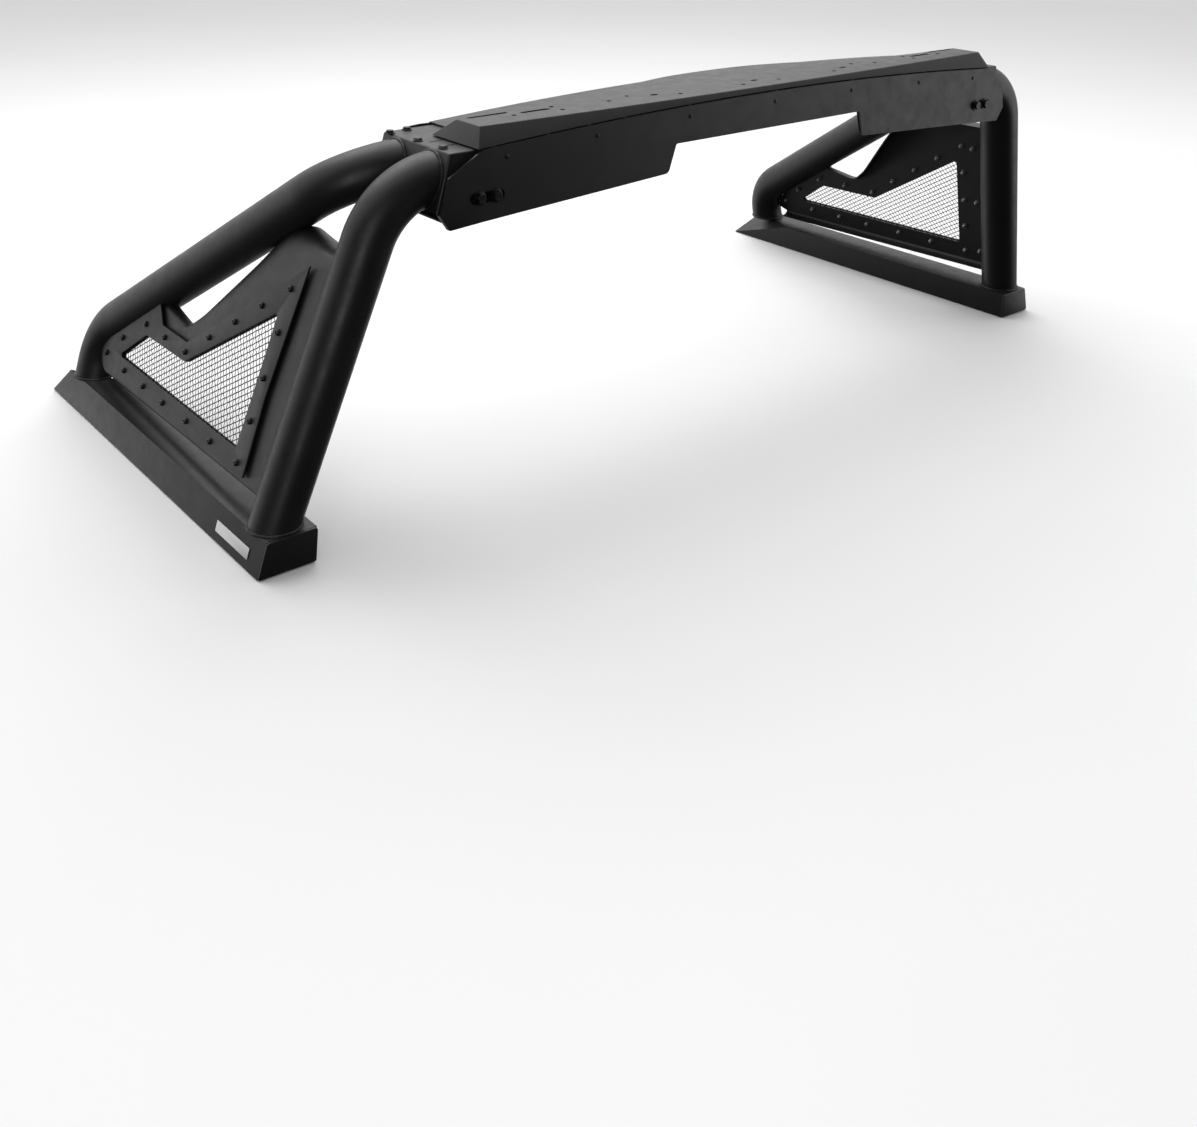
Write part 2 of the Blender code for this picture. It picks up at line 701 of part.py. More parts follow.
def skin(name, face_y, inward, low_edge, ledge, facet):
    """One fascia: a flat face, a ledge folded in along the arch, and a facet at each lower corner."""
    top, left, right = skin_outline(low_edge)
    loop = top + left + right
    mesh = bpy.data.meshes.new(name)
    bm = bmesh.new()
    corners = [bm.verts.new((p.x, face_y, p.y)) for p in loop]
    face = bm.faces.new(corners)
    face.normal_update()
    if face.normal.y * inward > 0:
        face.normal_flip()
    count = len(corners)
    ledge_depth, left_out = ledge
    ledge_run = range(left_out, len(top) - 1 - left_out)
    ledge_edges = [bm.edges.get((corners[i], corners[i + 1])) for i in ledge_run]
    low_left = bm.edges.get((corners[len(top) + 1], corners[len(top) + 2]))
    low_right = bm.edges.get((corners[count - 3], corners[count - 2]))
    for folds, depth in ((ledge_edges, ledge_depth), ([low_right], facet), ([low_left], facet)):
        grown = bmesh.ops.extrude_edge_only(bm, edges=folds)["geom"]
        rim = [item for item in grown if isinstance(item, bmesh.types.BMVert)]
        bmesh.ops.translate(bm, verts=rim, vec=(0, inward * depth, 0))
    bmesh.ops.recalc_face_normals(bm, faces=bm.faces)
    for piece in bm.faces:
        if len(piece.verts) == count and piece.normal.y * inward > 0:
            bmesh.ops.reverse_faces(bm, faces=bm.faces)
            break
    bm.to_mesh(mesh)
    bm.free()
    obj = bpy.data.objects.new(name, mesh)
    solidify(obj, SKIN_SHEET)
    outlines = []
    for side in (-1, 1):
        outlines.append(slot_outline((side * SLOT_CENTRE[0], SLOT_CENTRE[1]), *SLOT_SIZE))
    slots = place(plate(name + "_slots", outlines, 2 * THROUGH, upright(face_y)))
    cut(obj, slots)
    place(obj, "coated steel")


def pan_edge(bm, corners, y):
    """The vertices of the pan's front or rear edge, from left to right."""
    half = rounded([*corners, (0, corners[-1][1])], (0, WING_ROUND, WING_TIP, 0), 3, closed=False)[:-1]
    path = [Vector((-p.x, p.y)) for p in half] + list(reversed(half))
    return [bm.verts.new((p.x, y, p.y)) for p in path]


def bottom_pan():
    """The bent strip between the skins that closes the crossbar below. Its middle has slanting ends."""
    mesh = bpy.data.meshes.new("bottom_pan")
    bm = bmesh.new()
    front = pan_edge(bm, PAN_FRONT, FRONT_FACE_Y + SKIN_SHEET + PAN_FRONT_CLEARANCE)
    rear = pan_edge(bm, PAN_REAR, REAR_FACE_Y - SKIN_SHEET - SKIN_CLEARANCE)
    for i in range(len(front) - 1):
        bm.faces.new((front[i], front[i + 1], rear[i + 1], rear[i]))
    bmesh.ops.recalc_face_normals(bm, faces=bm.faces)
    flattest = max(bm.faces, key=lambda face: abs(face.normal.z))
    if flattest.normal.z > 0:
        bmesh.ops.reverse_faces(bm, faces=bm.faces)
    bm.to_mesh(mesh)
    bm.free()
    pan = bpy.data.objects.new("bottom_pan", mesh)
    solidify(pan, PAN_SHEET)
    place(pan, "coated steel")


def lift_housing():
    """The square guide that holds a lifting rod, bored from above."""
    half = HOUSING_SIDE / 2
    low = (LIFT_X - half, LIFT_Y - half, HOUSING_Z[0])
    high = (LIFT_X + half, LIFT_Y + half, HOUSING_Z[1])
    housing = block("right_lift_housing", low, high, HOUSING_EDGE)
    bore_low = (LIFT_X, LIFT_Y, HOUSING_Z[0] + BORE_FLOOR)
    bore_high = (LIFT_X, LIFT_Y, HOUSING_Z[1] + THROUGH)
    bore = cylinder("lift_bore", BORE_RADIUS, bore_low, bore_high)
    cut(housing, place(bore))
    both_sides(housing, "aluminium")


def lift_bush():
    """The nylon ring at the mouth of the housing."""
    outer = circle((LIFT_X, LIFT_Y), BORE_RADIUS - BUSH_CLEARANCE, ROUND_SIDES)
    inner = circle((LIFT_X, LIFT_Y), ROD_RADIUS + BUSH_CLEARANCE, ROUND_SIDES)
    height = BUSH_Z[1] - BUSH_Z[0]
    both_sides(plate("right_lift_bush", [outer, inner], height, level(sum(BUSH_Z) / 2)), "nylon")


def lift_rod():
    low = (LIFT_X, LIFT_Y, ROD_Z[0])
    high = (LIFT_X, LIFT_Y, ROD_Z[1])
    both_sides(cylinder("right_lift_rod", ROD_RADIUS, low, high), "zinc steel")


def lift_motor():
    """The gear motor beside each housing: a turned can with a neck and a round end."""
    profile = (
        (0, 0),
        (MOTOR_NECK, 0),
        (MOTOR_NECK, MOTOR_SHOULDER),
        (MOTOR_RADIUS, MOTOR_SHOULDER + MOTOR_EDGE / 2),
        (MOTOR_RADIUS, MOTOR_LENGTH - MOTOR_EDGE),
        (MOTOR_RADIUS - MOTOR_EDGE, MOTOR_LENGTH),
        (0, MOTOR_LENGTH),
    )
    mesh = bpy.data.meshes.new("right_lift_motor")
    bm = bmesh.new()
    points = [bm.verts.new((r, 0, -s)) for r, s in profile]
    for pair in zip(points, points[1:]):
        bm.edges.new(pair)
    bm.to_mesh(mesh)
    bm.free()
    motor = bpy.data.objects.new("right_lift_motor", mesh)
    screw = motor.modifiers.new("turn", "SCREW")
    screw.steps = ROUND_SIDES
    screw.render_steps = ROUND_SIDES
    screw.use_merge_vertices = True
    screw.merge_threshold = 0.0001
    face_x = LIFT_X - HOUSING_SIDE / 2 - GAP
    inboard = Matrix.Rotation(HALF_TURN / 2, 4, "Y")
    motor.matrix_basis = Matrix.Translation((face_x, LIFT_Y, MOTOR_Z)) @ inboard
    both_sides(motor, "zinc steel")


# ---------------------------------------------------------------- light mount


def cover_section(x):
    """The cover's section at x: front foot, front top, rear top, rear foot. The foot is a little longer."""
    foot_x = x * COVER_HALF_FOOT / COVER_HALF_TOP
    foot_z = arch(foot_x) + COVER_CLEARANCE
    drop = COVER_TOP - foot_z
    bulge = COVER_REAR_BULGE * math.exp(-(abs(x / COVER_BULGE_WIDTH) ** COVER_BULGE_POWER))
    rear = COVER_REAR_Y + bulge
    flare = COVER_REAR_FLARE[0] + COVER_REAR_FLARE[1] * drop
    return (
        (foot_x, COVER_FRONT_Y, foot_z),
        (x, COVER_FRONT_Y + COVER_FRONT_FLARE * drop, COVER_TOP),
        (x, rear, COVER_TOP),
        (foot_x, rear + flare, foot_z),
    )


def light_cover():
    """The shallow cover: a loft of sections along x, open below, with lamp slots in its top."""
    mesh = bpy.data.meshes.new("light_cover")
    bm = bmesh.new()
    stations = [COVER_HALF_TOP * (2 * i / COVER_STATIONS - 1) for i in range(COVER_STATIONS + 1)]
    rows = [[bm.verts.new(point) for point in cover_section(x)] for x in stations]
    for row, following in zip(rows, rows[1:]):
        for k in range(3):
            bm.faces.new((row[k], row[k + 1], following[k + 1], following[k]))
    bm.faces.new(rows[0])
    bm.faces.new(list(reversed(rows[-1])))
    bmesh.ops.recalc_face_normals(bm, faces=bm.faces)
    top = max(bm.faces, key=lambda face: face.calc_center_median().z)
    if top.normal.z < 0:
        bmesh.ops.reverse_faces(bm, faces=bm.faces)
    bm.to_mesh(mesh)
    bm.free()
    cover = bpy.data.objects.new("light_cover", mesh)
    solidify(cover, COVER_SHEET)
    outlines = [slot_outline(COVER_MID_SLOT[:2], COVER_MID_SLOT[2], COVER_SLOT_WIDTH)]
    for side in (-1, 1):
        outlines += [slot_outline((side * x, y), length, COVER_SLOT_WIDTH) for x, y, length in COVER_SLOTS]
        outlines += [circle((side * x, y), COVER_HOLE_RADIUS, 8) for x, y in COVER_HOLES]
    holes = place(plate("lamp_holes", outlines, THROUGH, level(COVER_TOP)))
    cut(cover, holes)
    place(cover, "coated steel")


def light_channel():
    """The strut channel under the cover: open above, so that the lamps' nuts slide in it."""
    low = (-CHANNEL_HALF, CHANNEL_Y[0], CHANNEL_Z[0])
    high = (CHANNEL_HALF, CHANNEL_Y[1], CHANNEL_Z[1])
    channel = block("light_channel", low, high)
    bm = edit(channel)
    openings = [face for face in bm.faces if face.normal.z > 0.9 or abs(face.normal.x) > 0.9]
    bmesh.ops.delete(bm, geom=openings, context="FACES")
    finish_edit(channel, bm)
    solidify(channel, CHANNEL_SHEET)
    place(channel, "zinc steel")


base_rail()
rail_end_plate()
rail_foot_sheet("right_mounting_plate", *PLATE_Z, "zinc steel")
rail_foot_sheet("right_rail_pad", 0.0, PAD_TOP, "rubber")
tube("right_front_tube", FRONT_TUBE)
tube("right_rear_tube", REAR_TUBE)
side_panel()
mesh_panel()
trim_plate()
saddle()
bolts()
badge()
skin("front_fascia", FRONT_FACE_Y, 1, FRONT_LOW_EDGE, FRONT_LEDGE, FRONT_FACET)
skin("rear_fascia", REAR_FACE_Y, -1, REAR_LOW_EDGE, REAR_LEDGE, REAR_FACET)
bottom_pan()
lift_housing()
lift_bush()
lift_motor()
light_cover()
light_channel()
lift_rod()
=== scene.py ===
"""The looks of the headache rack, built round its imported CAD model.

Metres, +Z up, -Y towards the cab. Shapes are modelled in the rails' frame, where y = 0 is the middle of the
rails, and moved into the rack's frame as they are added. Both legs are alike: the right one is modelled and
mirrored.
"""

import math

import bmesh
import bpy
import numpy as np
from mathutils import Matrix, Vector


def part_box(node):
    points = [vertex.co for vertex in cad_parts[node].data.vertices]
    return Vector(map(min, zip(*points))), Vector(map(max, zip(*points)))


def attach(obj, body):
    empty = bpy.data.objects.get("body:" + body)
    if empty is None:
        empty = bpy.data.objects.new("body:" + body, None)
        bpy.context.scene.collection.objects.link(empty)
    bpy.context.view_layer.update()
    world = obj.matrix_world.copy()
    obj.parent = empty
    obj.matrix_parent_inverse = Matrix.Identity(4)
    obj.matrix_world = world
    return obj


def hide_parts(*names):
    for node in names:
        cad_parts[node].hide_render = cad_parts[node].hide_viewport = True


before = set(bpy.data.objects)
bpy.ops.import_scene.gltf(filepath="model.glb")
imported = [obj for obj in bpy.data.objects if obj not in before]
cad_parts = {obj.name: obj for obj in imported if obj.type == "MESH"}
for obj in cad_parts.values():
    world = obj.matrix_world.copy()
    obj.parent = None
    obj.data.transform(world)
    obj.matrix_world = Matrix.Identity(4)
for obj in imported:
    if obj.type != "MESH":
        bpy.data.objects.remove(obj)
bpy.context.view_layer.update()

MM = 0.001
QUARTER = math.pi / 2
GAP = 0.3 * MM

# Rails, with y = 0 at their middle
RAIL_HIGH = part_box("right_base_rail")[1]
RAIL_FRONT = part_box("right_rail_end_plate")[0].y
MID_Y = (RAIL_FRONT + RAIL_HIGH.y) / 2
RAIL_TOP = RAIL_HIGH.z
RAIL_TOP_X = 0.8770  # where the outer face, which leans out on its way down, meets the top

# Tubes
TUBE_RADIUS = 0.035
TUBE_WALL = 0.0025
TUBE_CLEARANCE = 0.4 * MM
BEND_RADIUS = 0.115
BAR_Z = 0.511
FRONT_TUBE = ((0.8535, -0.3528, 0.030), (0.6777, -0.3939, BAR_Z), (0.500, -0.3939, BAR_Z))
REAR_TUBE = (
    (0.8522, 0.3020, 0.030),
    (0.8231, 0.3020, 0.1261),
    (0.6811, -0.3082, BAR_Z),
    (0.500, -0.3082, BAR_Z),
)
FOOT_WELD = 2.3 * MM
NECK_WELD = 2.2 * MM
WELD_POINTS = 240
WELD_RIPPLE = 0.10

# Side panels: the plane x = PANEL_X - LEAN z - TOE y
PANEL_X = 0.8905
LEAN = 0.3712
TOE = 0.015
TRIM_SHEET = 0.003
MESH_THICKNESS = 0.003
PANEL_SHEET = 0.0025
PANEL_DEPTH = TRIM_SHEET + MESH_THICKNESS + 2 * GAP
OPENING_RADIUS = 0.004
OPENING = ((0.192, 0.1206), (0.113, 0.176), (-0.035, 0.180), (-0.263, 0.318), (-0.2495, 0.126))
MESH_OUTLINE = ((0.224, 0.1115), (0.118, 0.1885), (-0.030, 0.1925), (-0.2795, 0.3445), (-0.2620, 0.1130))
TRIM_OUTLINE = (
    (0.2700, 0.1140),
    (0.2380, 0.0800),
    (0.1730, 0.0880),
    (-0.2885, 0.0978),
    (-0.2890, 0.2100),
    (-0.3094, 0.3912),
    (-0.0264, 0.2064),
    (0.0664, 0.2055),
    (0.1100, 0.2480),
    (0.2300, 0.1710),
)
TRIM_RADII = (0.030, 0.040, 0, 0.004, 0, 0, 0.004, 0, 0, 0)
PANEL_REAR_EDGE = ((0.2700, 0.0900), (0.2750, 0.1200), (0.2500, 0.1600))
ROLL_STEPS = 14
# Rolled edges, station by station: where the flat sheet ends, the corner that it would reach if it were not
# rolled, and how far inboard its free edge lies
FOOT_ROLL = (
    ((-0.3570, 0.0941), (-0.3570, 0.0861), 0.018),
    ((0.2450, 0.0813), (0.2450, 0.0733), 0.018),
)
NOTCH_ROLL = (
    ((0.1120, 0.2290), (0.1120, 0.2400), 0.018),
    ((0.0100, 0.2110), (0.0050, 0.2235), 0.018),
    ((-0.0413, 0.2344), (-0.0305, 0.2537), 0.023),
    ((-0.1600, 0.3016), (-0.1256, 0.3623), 0.048),
    ((-0.1957, 0.3218), (-0.1550, 0.3950), 0.048),
    ((-0.2300, 0.3412), (-0.1945, 0.4252), 0.038),
    ((-0.2500, 0.3525), (-0.2244, 0.4332), 0.041),
    ((-0.3063, 0.3902), (-0.2994, 0.4240), 0.040),
    ((-0.3750, 0.3950), (-0.3745, 0.4214), 0.033),
)
NOTCH_ROUND = 0.022  # how far from a station its rounding starts
RAIL_BLOCK = (0.3, 1.0, 0.1)  # the block, in the rail's place, that trims the panel's foot
PANEL_BOLTS = (
    (0.2398, 0.1102),
    (0.1932, 0.1484),
    (0.1221, 0.1912),
    (0.0471, 0.1923),
    (-0.0305, 0.1932),
    (-0.0919, 0.2331),
    (-0.1546, 0.2738),
    (-0.2164, 0.3140),
    (-0.2789, 0.3536),
    (-0.2774, 0.2943),
    (-0.2725, 0.2309),
    (-0.2681, 0.1703),
    (-0.2630, 0.1107),
    (-0.1755, 0.1094),
    (-0.0906, 0.1092),
    (-0.0018, 0.1066),
    (0.0775, 0.1062),
    (0.1586, 0.1055),
)
INNER_NUTS = ((-0.305, 0.352), (-0.303, 0.232), (-0.300, 0.118))
WIRE_PITCH = 0.0084
WIRE_RADIUS = 0.00082
CROSS_WIRE = 0.6  # the cross wires' radius, as a share of that
WIRE_CRIMP = 0.9775  # how much of the room in the mesh's thickness the crimps take up

# Crossbar
FRONT_FACE_Y = -0.4426
REAR_FACE_Y = -0.2630
SKIN_SHEET = 0.003
SHEET_BEND = 1.4 * MM
ARCH_TOP = 0.5676
ARCH_CURVE = 0.0593
ARCH_STEPS = 32
FRONT_LEDGE = (0.009, 0)  # depth, and the arch stations at each end that it leaves out
REAR_LEDGE = (0.075, 2)
FRONT_FACET = 0.009
REAR_FACET = 0.002
SKIN_TOP_X = 0.559
# The skins' lower edge: round the end, along the wing, and up to the narrow middle
FRONT_LOW_EDGE = (
    (0.6139, 0.5180),
    (0.6270, 0.4700),
    (0.6120, 0.4480),
    (0.5590, 0.4515),
    (0.2220, 0.4690),
    (0.2085, 0.5115),
)
REAR_LOW_EDGE = (
    (0.6019, 0.5180),
    (0.6150, 0.4700),
    (0.6000, 0.4480),
    (0.5590, 0.4515),
    (0.4450, 0.4574),
    (0.4315, 0.5115),
)
WING_ROUND = 0.009
WING_TIP = 0.003
SLOT_CENTRE = (0.5513, 0.4850)
SLOT_SIZE = (0.056, 0.015)
SLOT_BOLT_SPACING = 0.0266
FACE_SCREWS_X = (0.0, 0.183, 0.363, 0.520)
FACE_SCREW_DROP = 0.016  # below the arch
LEDGE_CLIPS_X = (0.0, 0.185, 0.312, 0.377, 0.450, 0.541)
LEDGE_CLIP_INSET = 2.9 * MM
SADDLE_Y = (-0.4330, -0.2702)
SADDLE_SHEET = 0.002
SADDLE_BEND = 3.0 * MM
SADDLE_PROFILE = ((0.500, 0.5485), (0.6045, 0.5485), (0.6270, 0.4705), (0.500, 0.4705))
SADDLE_BOLTS = ((0.603, -0.285), (0.573, -0.281), (0.597, -0.346), (0.595, -0.403))
SADDLE_SLITS = ((0.577, -0.362), (0.577, -0.392))
SADDLE_SLIT_SIZE = (0.026, 0.003)

# Light mount
COVER_TOP = 0.577
COVER_SHEET = 0.002
COVER_CLEARANCE = 0.002
COVER_HALF_TOP = 0.552
COVER_HALF_FOOT = 0.5655
COVER_FRONT_Y = -0.4422
COVER_FRONT_FLARE = 0.60
COVER_REAR_Y = -0.372
COVER_REAR_BULGE = 0.084
COVER_BULGE_WIDTH = 0.27
COVER_BULGE_POWER = 2.6
COVER_REAR_FLARE = (0.020, 0.75)
COVER_STATIONS = 96
COVER_FOLD_ANGLE = math.radians(12)  # edges that turn more than this are rounded
COVER_SLOTS = ((0.5035, -0.375, 0.067), (0.4305, -0.388, 0.051), (0.214, -0.395, 0.014))
COVER_MIDDLE_SLOT = (-0.395, 0.014)  # its y and its length
COVER_SLOT_WIDTH = 0.0075
COVER_HOLES = (
    (0.473, -0.3955),
    (0.395, -0.3790),
    (0.394, -0.4030),
    (0.300, -0.3930),
    (0.254, -0.3800),
    (0.174, -0.4100),
    (0.040, -0.4100),
)
COVER_HOLE_RADIUS = 0.0038
COVER_CUT = 0.012  # how thick the plate is that cuts them

BADGE_SIZE = (0.0985, 0.0165, 0.0012)
THROUGH = 0.02  # how thick the other cutting plates are

# Studio: the side that the light comes from, and the shades from the opposite side up to that one
BRIGHT_SIDE = (0.25, 0.80, 0.55)
STUDIO_SHADES = ((0.0, 0.02), (0.50, 0.06), (0.64, 0.85), (1.0, 1.05))
BACKDROP_SHADE = 0.98
FLOOR_RADIUS = 40.0
# Each softbox: its place, what it faces, its width and height, and its power in watts
SOFTBOXES = {
    "overhead": ((0.4, 1.4, 3.2), (0, 0, 0.3), (4.5, 3.0), 85),
    "left_strip": ((-3.0, -2.7, 0.5), (-0.75, -0.35, 0.3), (0.8, 2.2), 24),
    "right_side": ((3.4, -2.2, 0.3), (0.3, -0.4, 0.5), (2.6, 2.4), 28),
}

# Camera, its place in the rails' frame
CAMERA_PLACE = (-1.534, -1.7993, 0.942)
CAMERA_RIGHT = (0.78718, -0.61658, 0.01344)
CAMERA_UP = (0.20565, 0.28296, 0.93683)
CAMERA_AHEAD = (0.58143, 0.73469, -0.34954)
SENSOR_WIDTH = 36.0
LENS = 39.22
LENS_SHIFT = (0.0489, -0.2068)

# ---------------------------------------------------------------- materials


class Look:
    """A material being built: a Principled shader and a few shorthands for the nodes in front of it."""

    def __init__(self, name, slot):
        self.slot = slot
        self.material = bpy.data.materials.new(name)
        self.material.use_nodes = True
        self.nodes = self.material.node_tree.nodes
        self.links = self.material.node_tree.links
        self.shader = self.nodes["Principled BSDF"]
        self.place = self.nodes.new("ShaderNodeTexCoord").outputs["Object"]

    def set(self, **values):
        for name, value in values.items():
            self.shader.inputs[name.replace("_", " ")].default_value = value

    def noise(self, scale, detail=3.0, roughness=0.5, stretch=None):
        """A noise of so many features a metre, from 0 to 1."""
        node = self.nodes.new("ShaderNodeTexNoise")
        node.inputs["Scale"].default_value = scale
        node.inputs["Detail"].default_value = detail
        node.inputs["Roughness"].default_value = roughness
        source = self.place
        if stretch:
            mapping = self.nodes.new("ShaderNodeMapping")
            mapping.inputs["Scale"].default_value = stretch
            self.links.new(source, mapping.inputs["Vector"])
            source = mapping.outputs["Vector"]
        self.links.new(source, node.inputs["Vector"])
        return node.outputs["Fac"]

    def ramp(self, factor, low, high, start=0.3, end=0.7):
        """The factor as a colour or a grey between two values."""
        node = self.nodes.new("ShaderNodeValToRGB")
        for element, place, value in zip(node.color_ramp.elements, (start, end), (low, high)):
            element.position = place
            element.color = (*value, 1) if isinstance(value, tuple) else (value, value, value, 1)
        self.links.new(factor, node.inputs["Fac"])
        return node.outputs["Color"]

    def mixed(self, factor, first, second, blend="MIX"):
        node = self.nodes.new("ShaderNodeMix")
        node.data_type = "RGBA"
        node.blend_type = blend
        for socket, value in (("Factor", factor), ("A", first), ("B", second)):
            found = [entry for entry in node.inputs if entry.name == socket and entry.enabled]
            if isinstance(value, (float, int)):
                found[0].default_value = value
            else:
                self.links.new(value, found[0])
        return [entry for entry in node.outputs if entry.enabled][0]

    def drive(self, **sources):
        for name, source in sources.items():
            self.links.new(source, self.shader.inputs[name.replace("_", " ")])

    def bump(self, *layers):
        """Bumps in series: each a height, its depth in metres and its strength."""
        normal = None
        for height, depth, strength in layers:
            node = self.nodes.new("ShaderNodeBump")
            node.inputs["Distance"].default_value = depth
            node.inputs["Strength"].default_value = strength
            self.links.new(height, node.inputs["Height"])
            if normal:
                self.links.new(normal, node.inputs["Normal"])
            normal = node.outputs["Normal"]
        self.links.new(normal, self.shader.inputs["Normal"])


def powder_coat(name, slot, dark, light, roughness):
    """Satin black powder coat: a fine pebbled skin over a slow waviness, with faint cloudy handling marks."""
    look = Look(name, slot)
    clouds = look.ramp(look.noise(7.0, 4.0, 0.6), dark, light)
    specks = look.ramp(look.noise(900.0, 2.0), 0.80, 1.0, 0.35, 0.60)
    look.drive(Base_Color=look.mixed(1.0, clouds, specks, "MULTIPLY"))
    look.drive(Roughness=look.ramp(look.noise(38.0, 5.0, 0.65), *roughness))
    look.bump((look.noise(55.0, 2.0), 0.6 * MM, 0.10), (look.noise(620.0, 2.0, 0.6), 0.12 * MM, 0.55))
    look.set(IOR=1.5, Specular_IOR_Level=0.5)
    return look


def plated(name, slot, dark, light, roughness, grain):
    """Zinc plating or bare cast metal, with a cloudy passivated colour."""
    look = Look(name, slot)
    look.drive(Base_Color=look.ramp(look.noise(130.0, 4.0, 0.6), dark, light))
    look.drive(Roughness=look.ramp(look.noise(300.0, 3.0), roughness - 0.08, roughness + 0.12))
    look.bump((look.noise(1100.0, 2.0), 0.05 * MM, grain))
    look.set(Metallic=1.0)
    return look


def brushed(name, slot):
    """Aluminium sheet brushed along the rail."""
    look = Look(name, slot)
    streaks = look.noise(60.0, 4.0, 0.7, stretch=(60.0, 1.0, 60.0))
    look.drive(Base_Color=look.ramp(streaks, (0.58, 0.58, 0.58), (0.72, 0.72, 0.71)))
    look.drive(Roughness=look.ramp(streaks, 0.30, 0.46))
    look.bump((streaks, 0.03 * MM, 0.5))
    look.set(Metallic=1.0)
    return look


def moulded(name, slot, dark, light, roughness, depth):
    """Moulded rubber or nylon."""
    look = Look(name, slot)
    look.drive(Base_Color=look.ramp(look.noise(90.0, 4.0), dark, light))
    look.drive(Roughness=look.ramp(look.noise(420.0, 3.0), roughness - 0.06, roughness + 0.06))
    look.bump((look.noise(500.0, 3.0), depth, 0.6))
    return look


COAT = powder_coat(
    "satin_powder_coat", "coated_steel", (0.0130, 0.0133, 0.0140), (0.0185, 0.0186, 0.0190), (0.38, 0.50)
)
WELD = powder_coat(
    "coated_weld", "coated_steel", (0.0110, 0.0112, 0.0120), (0.0160, 0.0160, 0.0165), (0.38, 0.50)
)
WIRE = powder_coat(
    "coated_wire", "wire_mesh", (0.0080, 0.0080, 0.0085), (0.0130, 0.0130, 0.0135), (0.40, 0.52)
)
SCREW = powder_coat(
    "black_oxide", "black_fasteners", (0.0100, 0.0100, 0.0110), (0.0180, 0.0180, 0.0190), (0.28, 0.42)
)
BOLT = plated("black_zinc", "black_fasteners", (0.040, 0.041, 0.044), (0.070, 0.070, 0.074), 0.40, 0.2)
ZINC = plated("zinc_plating", "zinc_steel", (0.30, 0.30, 0.30), (0.46, 0.46, 0.45), 0.42, 0.35)
CAST = plated("cast_aluminium", "cast_aluminium", (0.44, 0.44, 0.45), (0.58, 0.58, 0.59), 0.48, 0.9)
BADGE = brushed("brushed_aluminium", "badge_aluminium")
RUBBER = moulded("moulded_rubber", "rubber", (0.012, 0.012, 0.012), (0.022, 0.022, 0.021), 0.82, 0.2 * MM)
NYLON = moulded("moulded_nylon", "nylon", (0.52, 0.51, 0.47), (0.62, 0.61, 0.57), 0.45, 0.05 * MM)

# ---------------------------------------------------------------- helpers


def link(obj):
    bpy.context.scene.collection.objects.link(obj)
    return obj


def add(name, mesh, look, body, *nodes, angle=32):
    """Add a mesh, drawn in the rails' frame, as a piece that rides on a body and may stand for CAD nodes."""
    mesh.transform(Matrix.Translation((0, MID_Y, 0)))
    mesh.materials.clear()
    mesh.materials.append(look.material)
    mesh.shade_smooth()
    mesh.set_sharp_from_angle(angle=math.radians(angle))
    obj = link(bpy.data.objects.new(name, mesh))
    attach(obj, body)
    if nodes:
        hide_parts(*nodes)
    return obj


def add_pair(name, mesh, look, *nodes, bodies=("right_leg", "left_leg"), angle=32):
    """Add a right-hand mesh and its mirror image."""
    for side, body in zip(("right", "left"), bodies):
        copy = mesh.copy()
        if side == "left":
            copy.transform(Matrix.Scale(-1, 4, (1, 0, 0)))
            copy.flip_normals()
        add(f"{side}_{name}", copy, look, body, *[f"{side}_{node}" for node in nodes], angle=angle)


def baked(obj, *helpers):
    """The object's mesh with its modifiers applied. The object and its helpers are removed."""
    bpy.context.view_layer.update()
    graph = bpy.context.evaluated_depsgraph_get()
    mesh = bpy.data.meshes.new_from_object(obj.evaluated_get(graph))
    mesh.transform(obj.matrix_world)
    for done in (obj, *helpers):
        bpy.data.objects.remove(done, do_unlink=True)
    return mesh


def object_of(bm, name="scratch"):
    mesh = bpy.data.meshes.new(name)
    bm.to_mesh(mesh)
    bm.free()
    return link(bpy.data.objects.new(name, mesh))


def solidify(obj, thickness):
    """Give a surface a sheet's thickness, behind its faces."""
    modifier = obj.modifiers.new("sheet", "SOLIDIFY")
    modifier.thickness = thickness
    modifier.offset = -1
    modifier.use_even_offset = True


def bevel(obj, width, segments=2, angle=40):
    modifier = obj.modifiers.new("edges", "BEVEL")
    modifier.width = width
    modifier.segments = segments
    modifier.limit_method = "ANGLE"
    modifier.angle_limit = math.radians(angle)


def cut(obj, *cutters):
    for cutter in cutters:
        modifier = obj.modifiers.new("cut", "BOOLEAN")
        modifier.operation = "DIFFERENCE"
        modifier.object = cutter


def rounded(corners, radius, steps=8, closed=True):
    """The corners as points, each corner with a radius turned into an arc."""
    last = len(corners) - 1
    radii = radius if isinstance(radius, tuple) else (radius,) * len(corners)
    points = []
    for i, (corner, r) in enumerate(zip(corners, radii)):
        here = Vector(corner)
        if r == 0 or (not closed and i in (0, last)):
            points.append(here)
            continue
        back = (Vector(corners[i - 1]) - here).normalized()
        ahead = (Vector(corners[(i + 1) % len(corners)]) - here).normalized()
        half = back.angle(ahead) / 2
        centre = here + (back + ahead).normalized() * (r / math.sin(half))
        start = here + back * (r / math.tan(half)) - centre
        end = here + ahead * (r / math.tan(half)) - centre
        turn = start.angle(end)
        for step in range(steps + 1):
            t = step / steps
            near = start * math.sin((1 - t) * turn)
            far = end * math.sin(t * turn)
            points.append(centre + (near + far) / math.sin(turn))
    return points


def circle(centre, radius, sides=24):
    angles = [4 * QUARTER * i / sides for i in range(sides)]
    return [(centre[0] + radius * math.cos(a), centre[1] + radius * math.sin(a)) for a in angles]


def slot_outline(centre, length, width):
    """A slot with round ends, along the first axis."""
    x, y = centre
    half = length / 2
    corners = (
        (x - half, y - width / 2),
        (x + half, y - width / 2),
        (x + half, y + width / 2),
        (x - half, y + width / 2),
    )
    return rounded(corners, width * 0.49, 8)


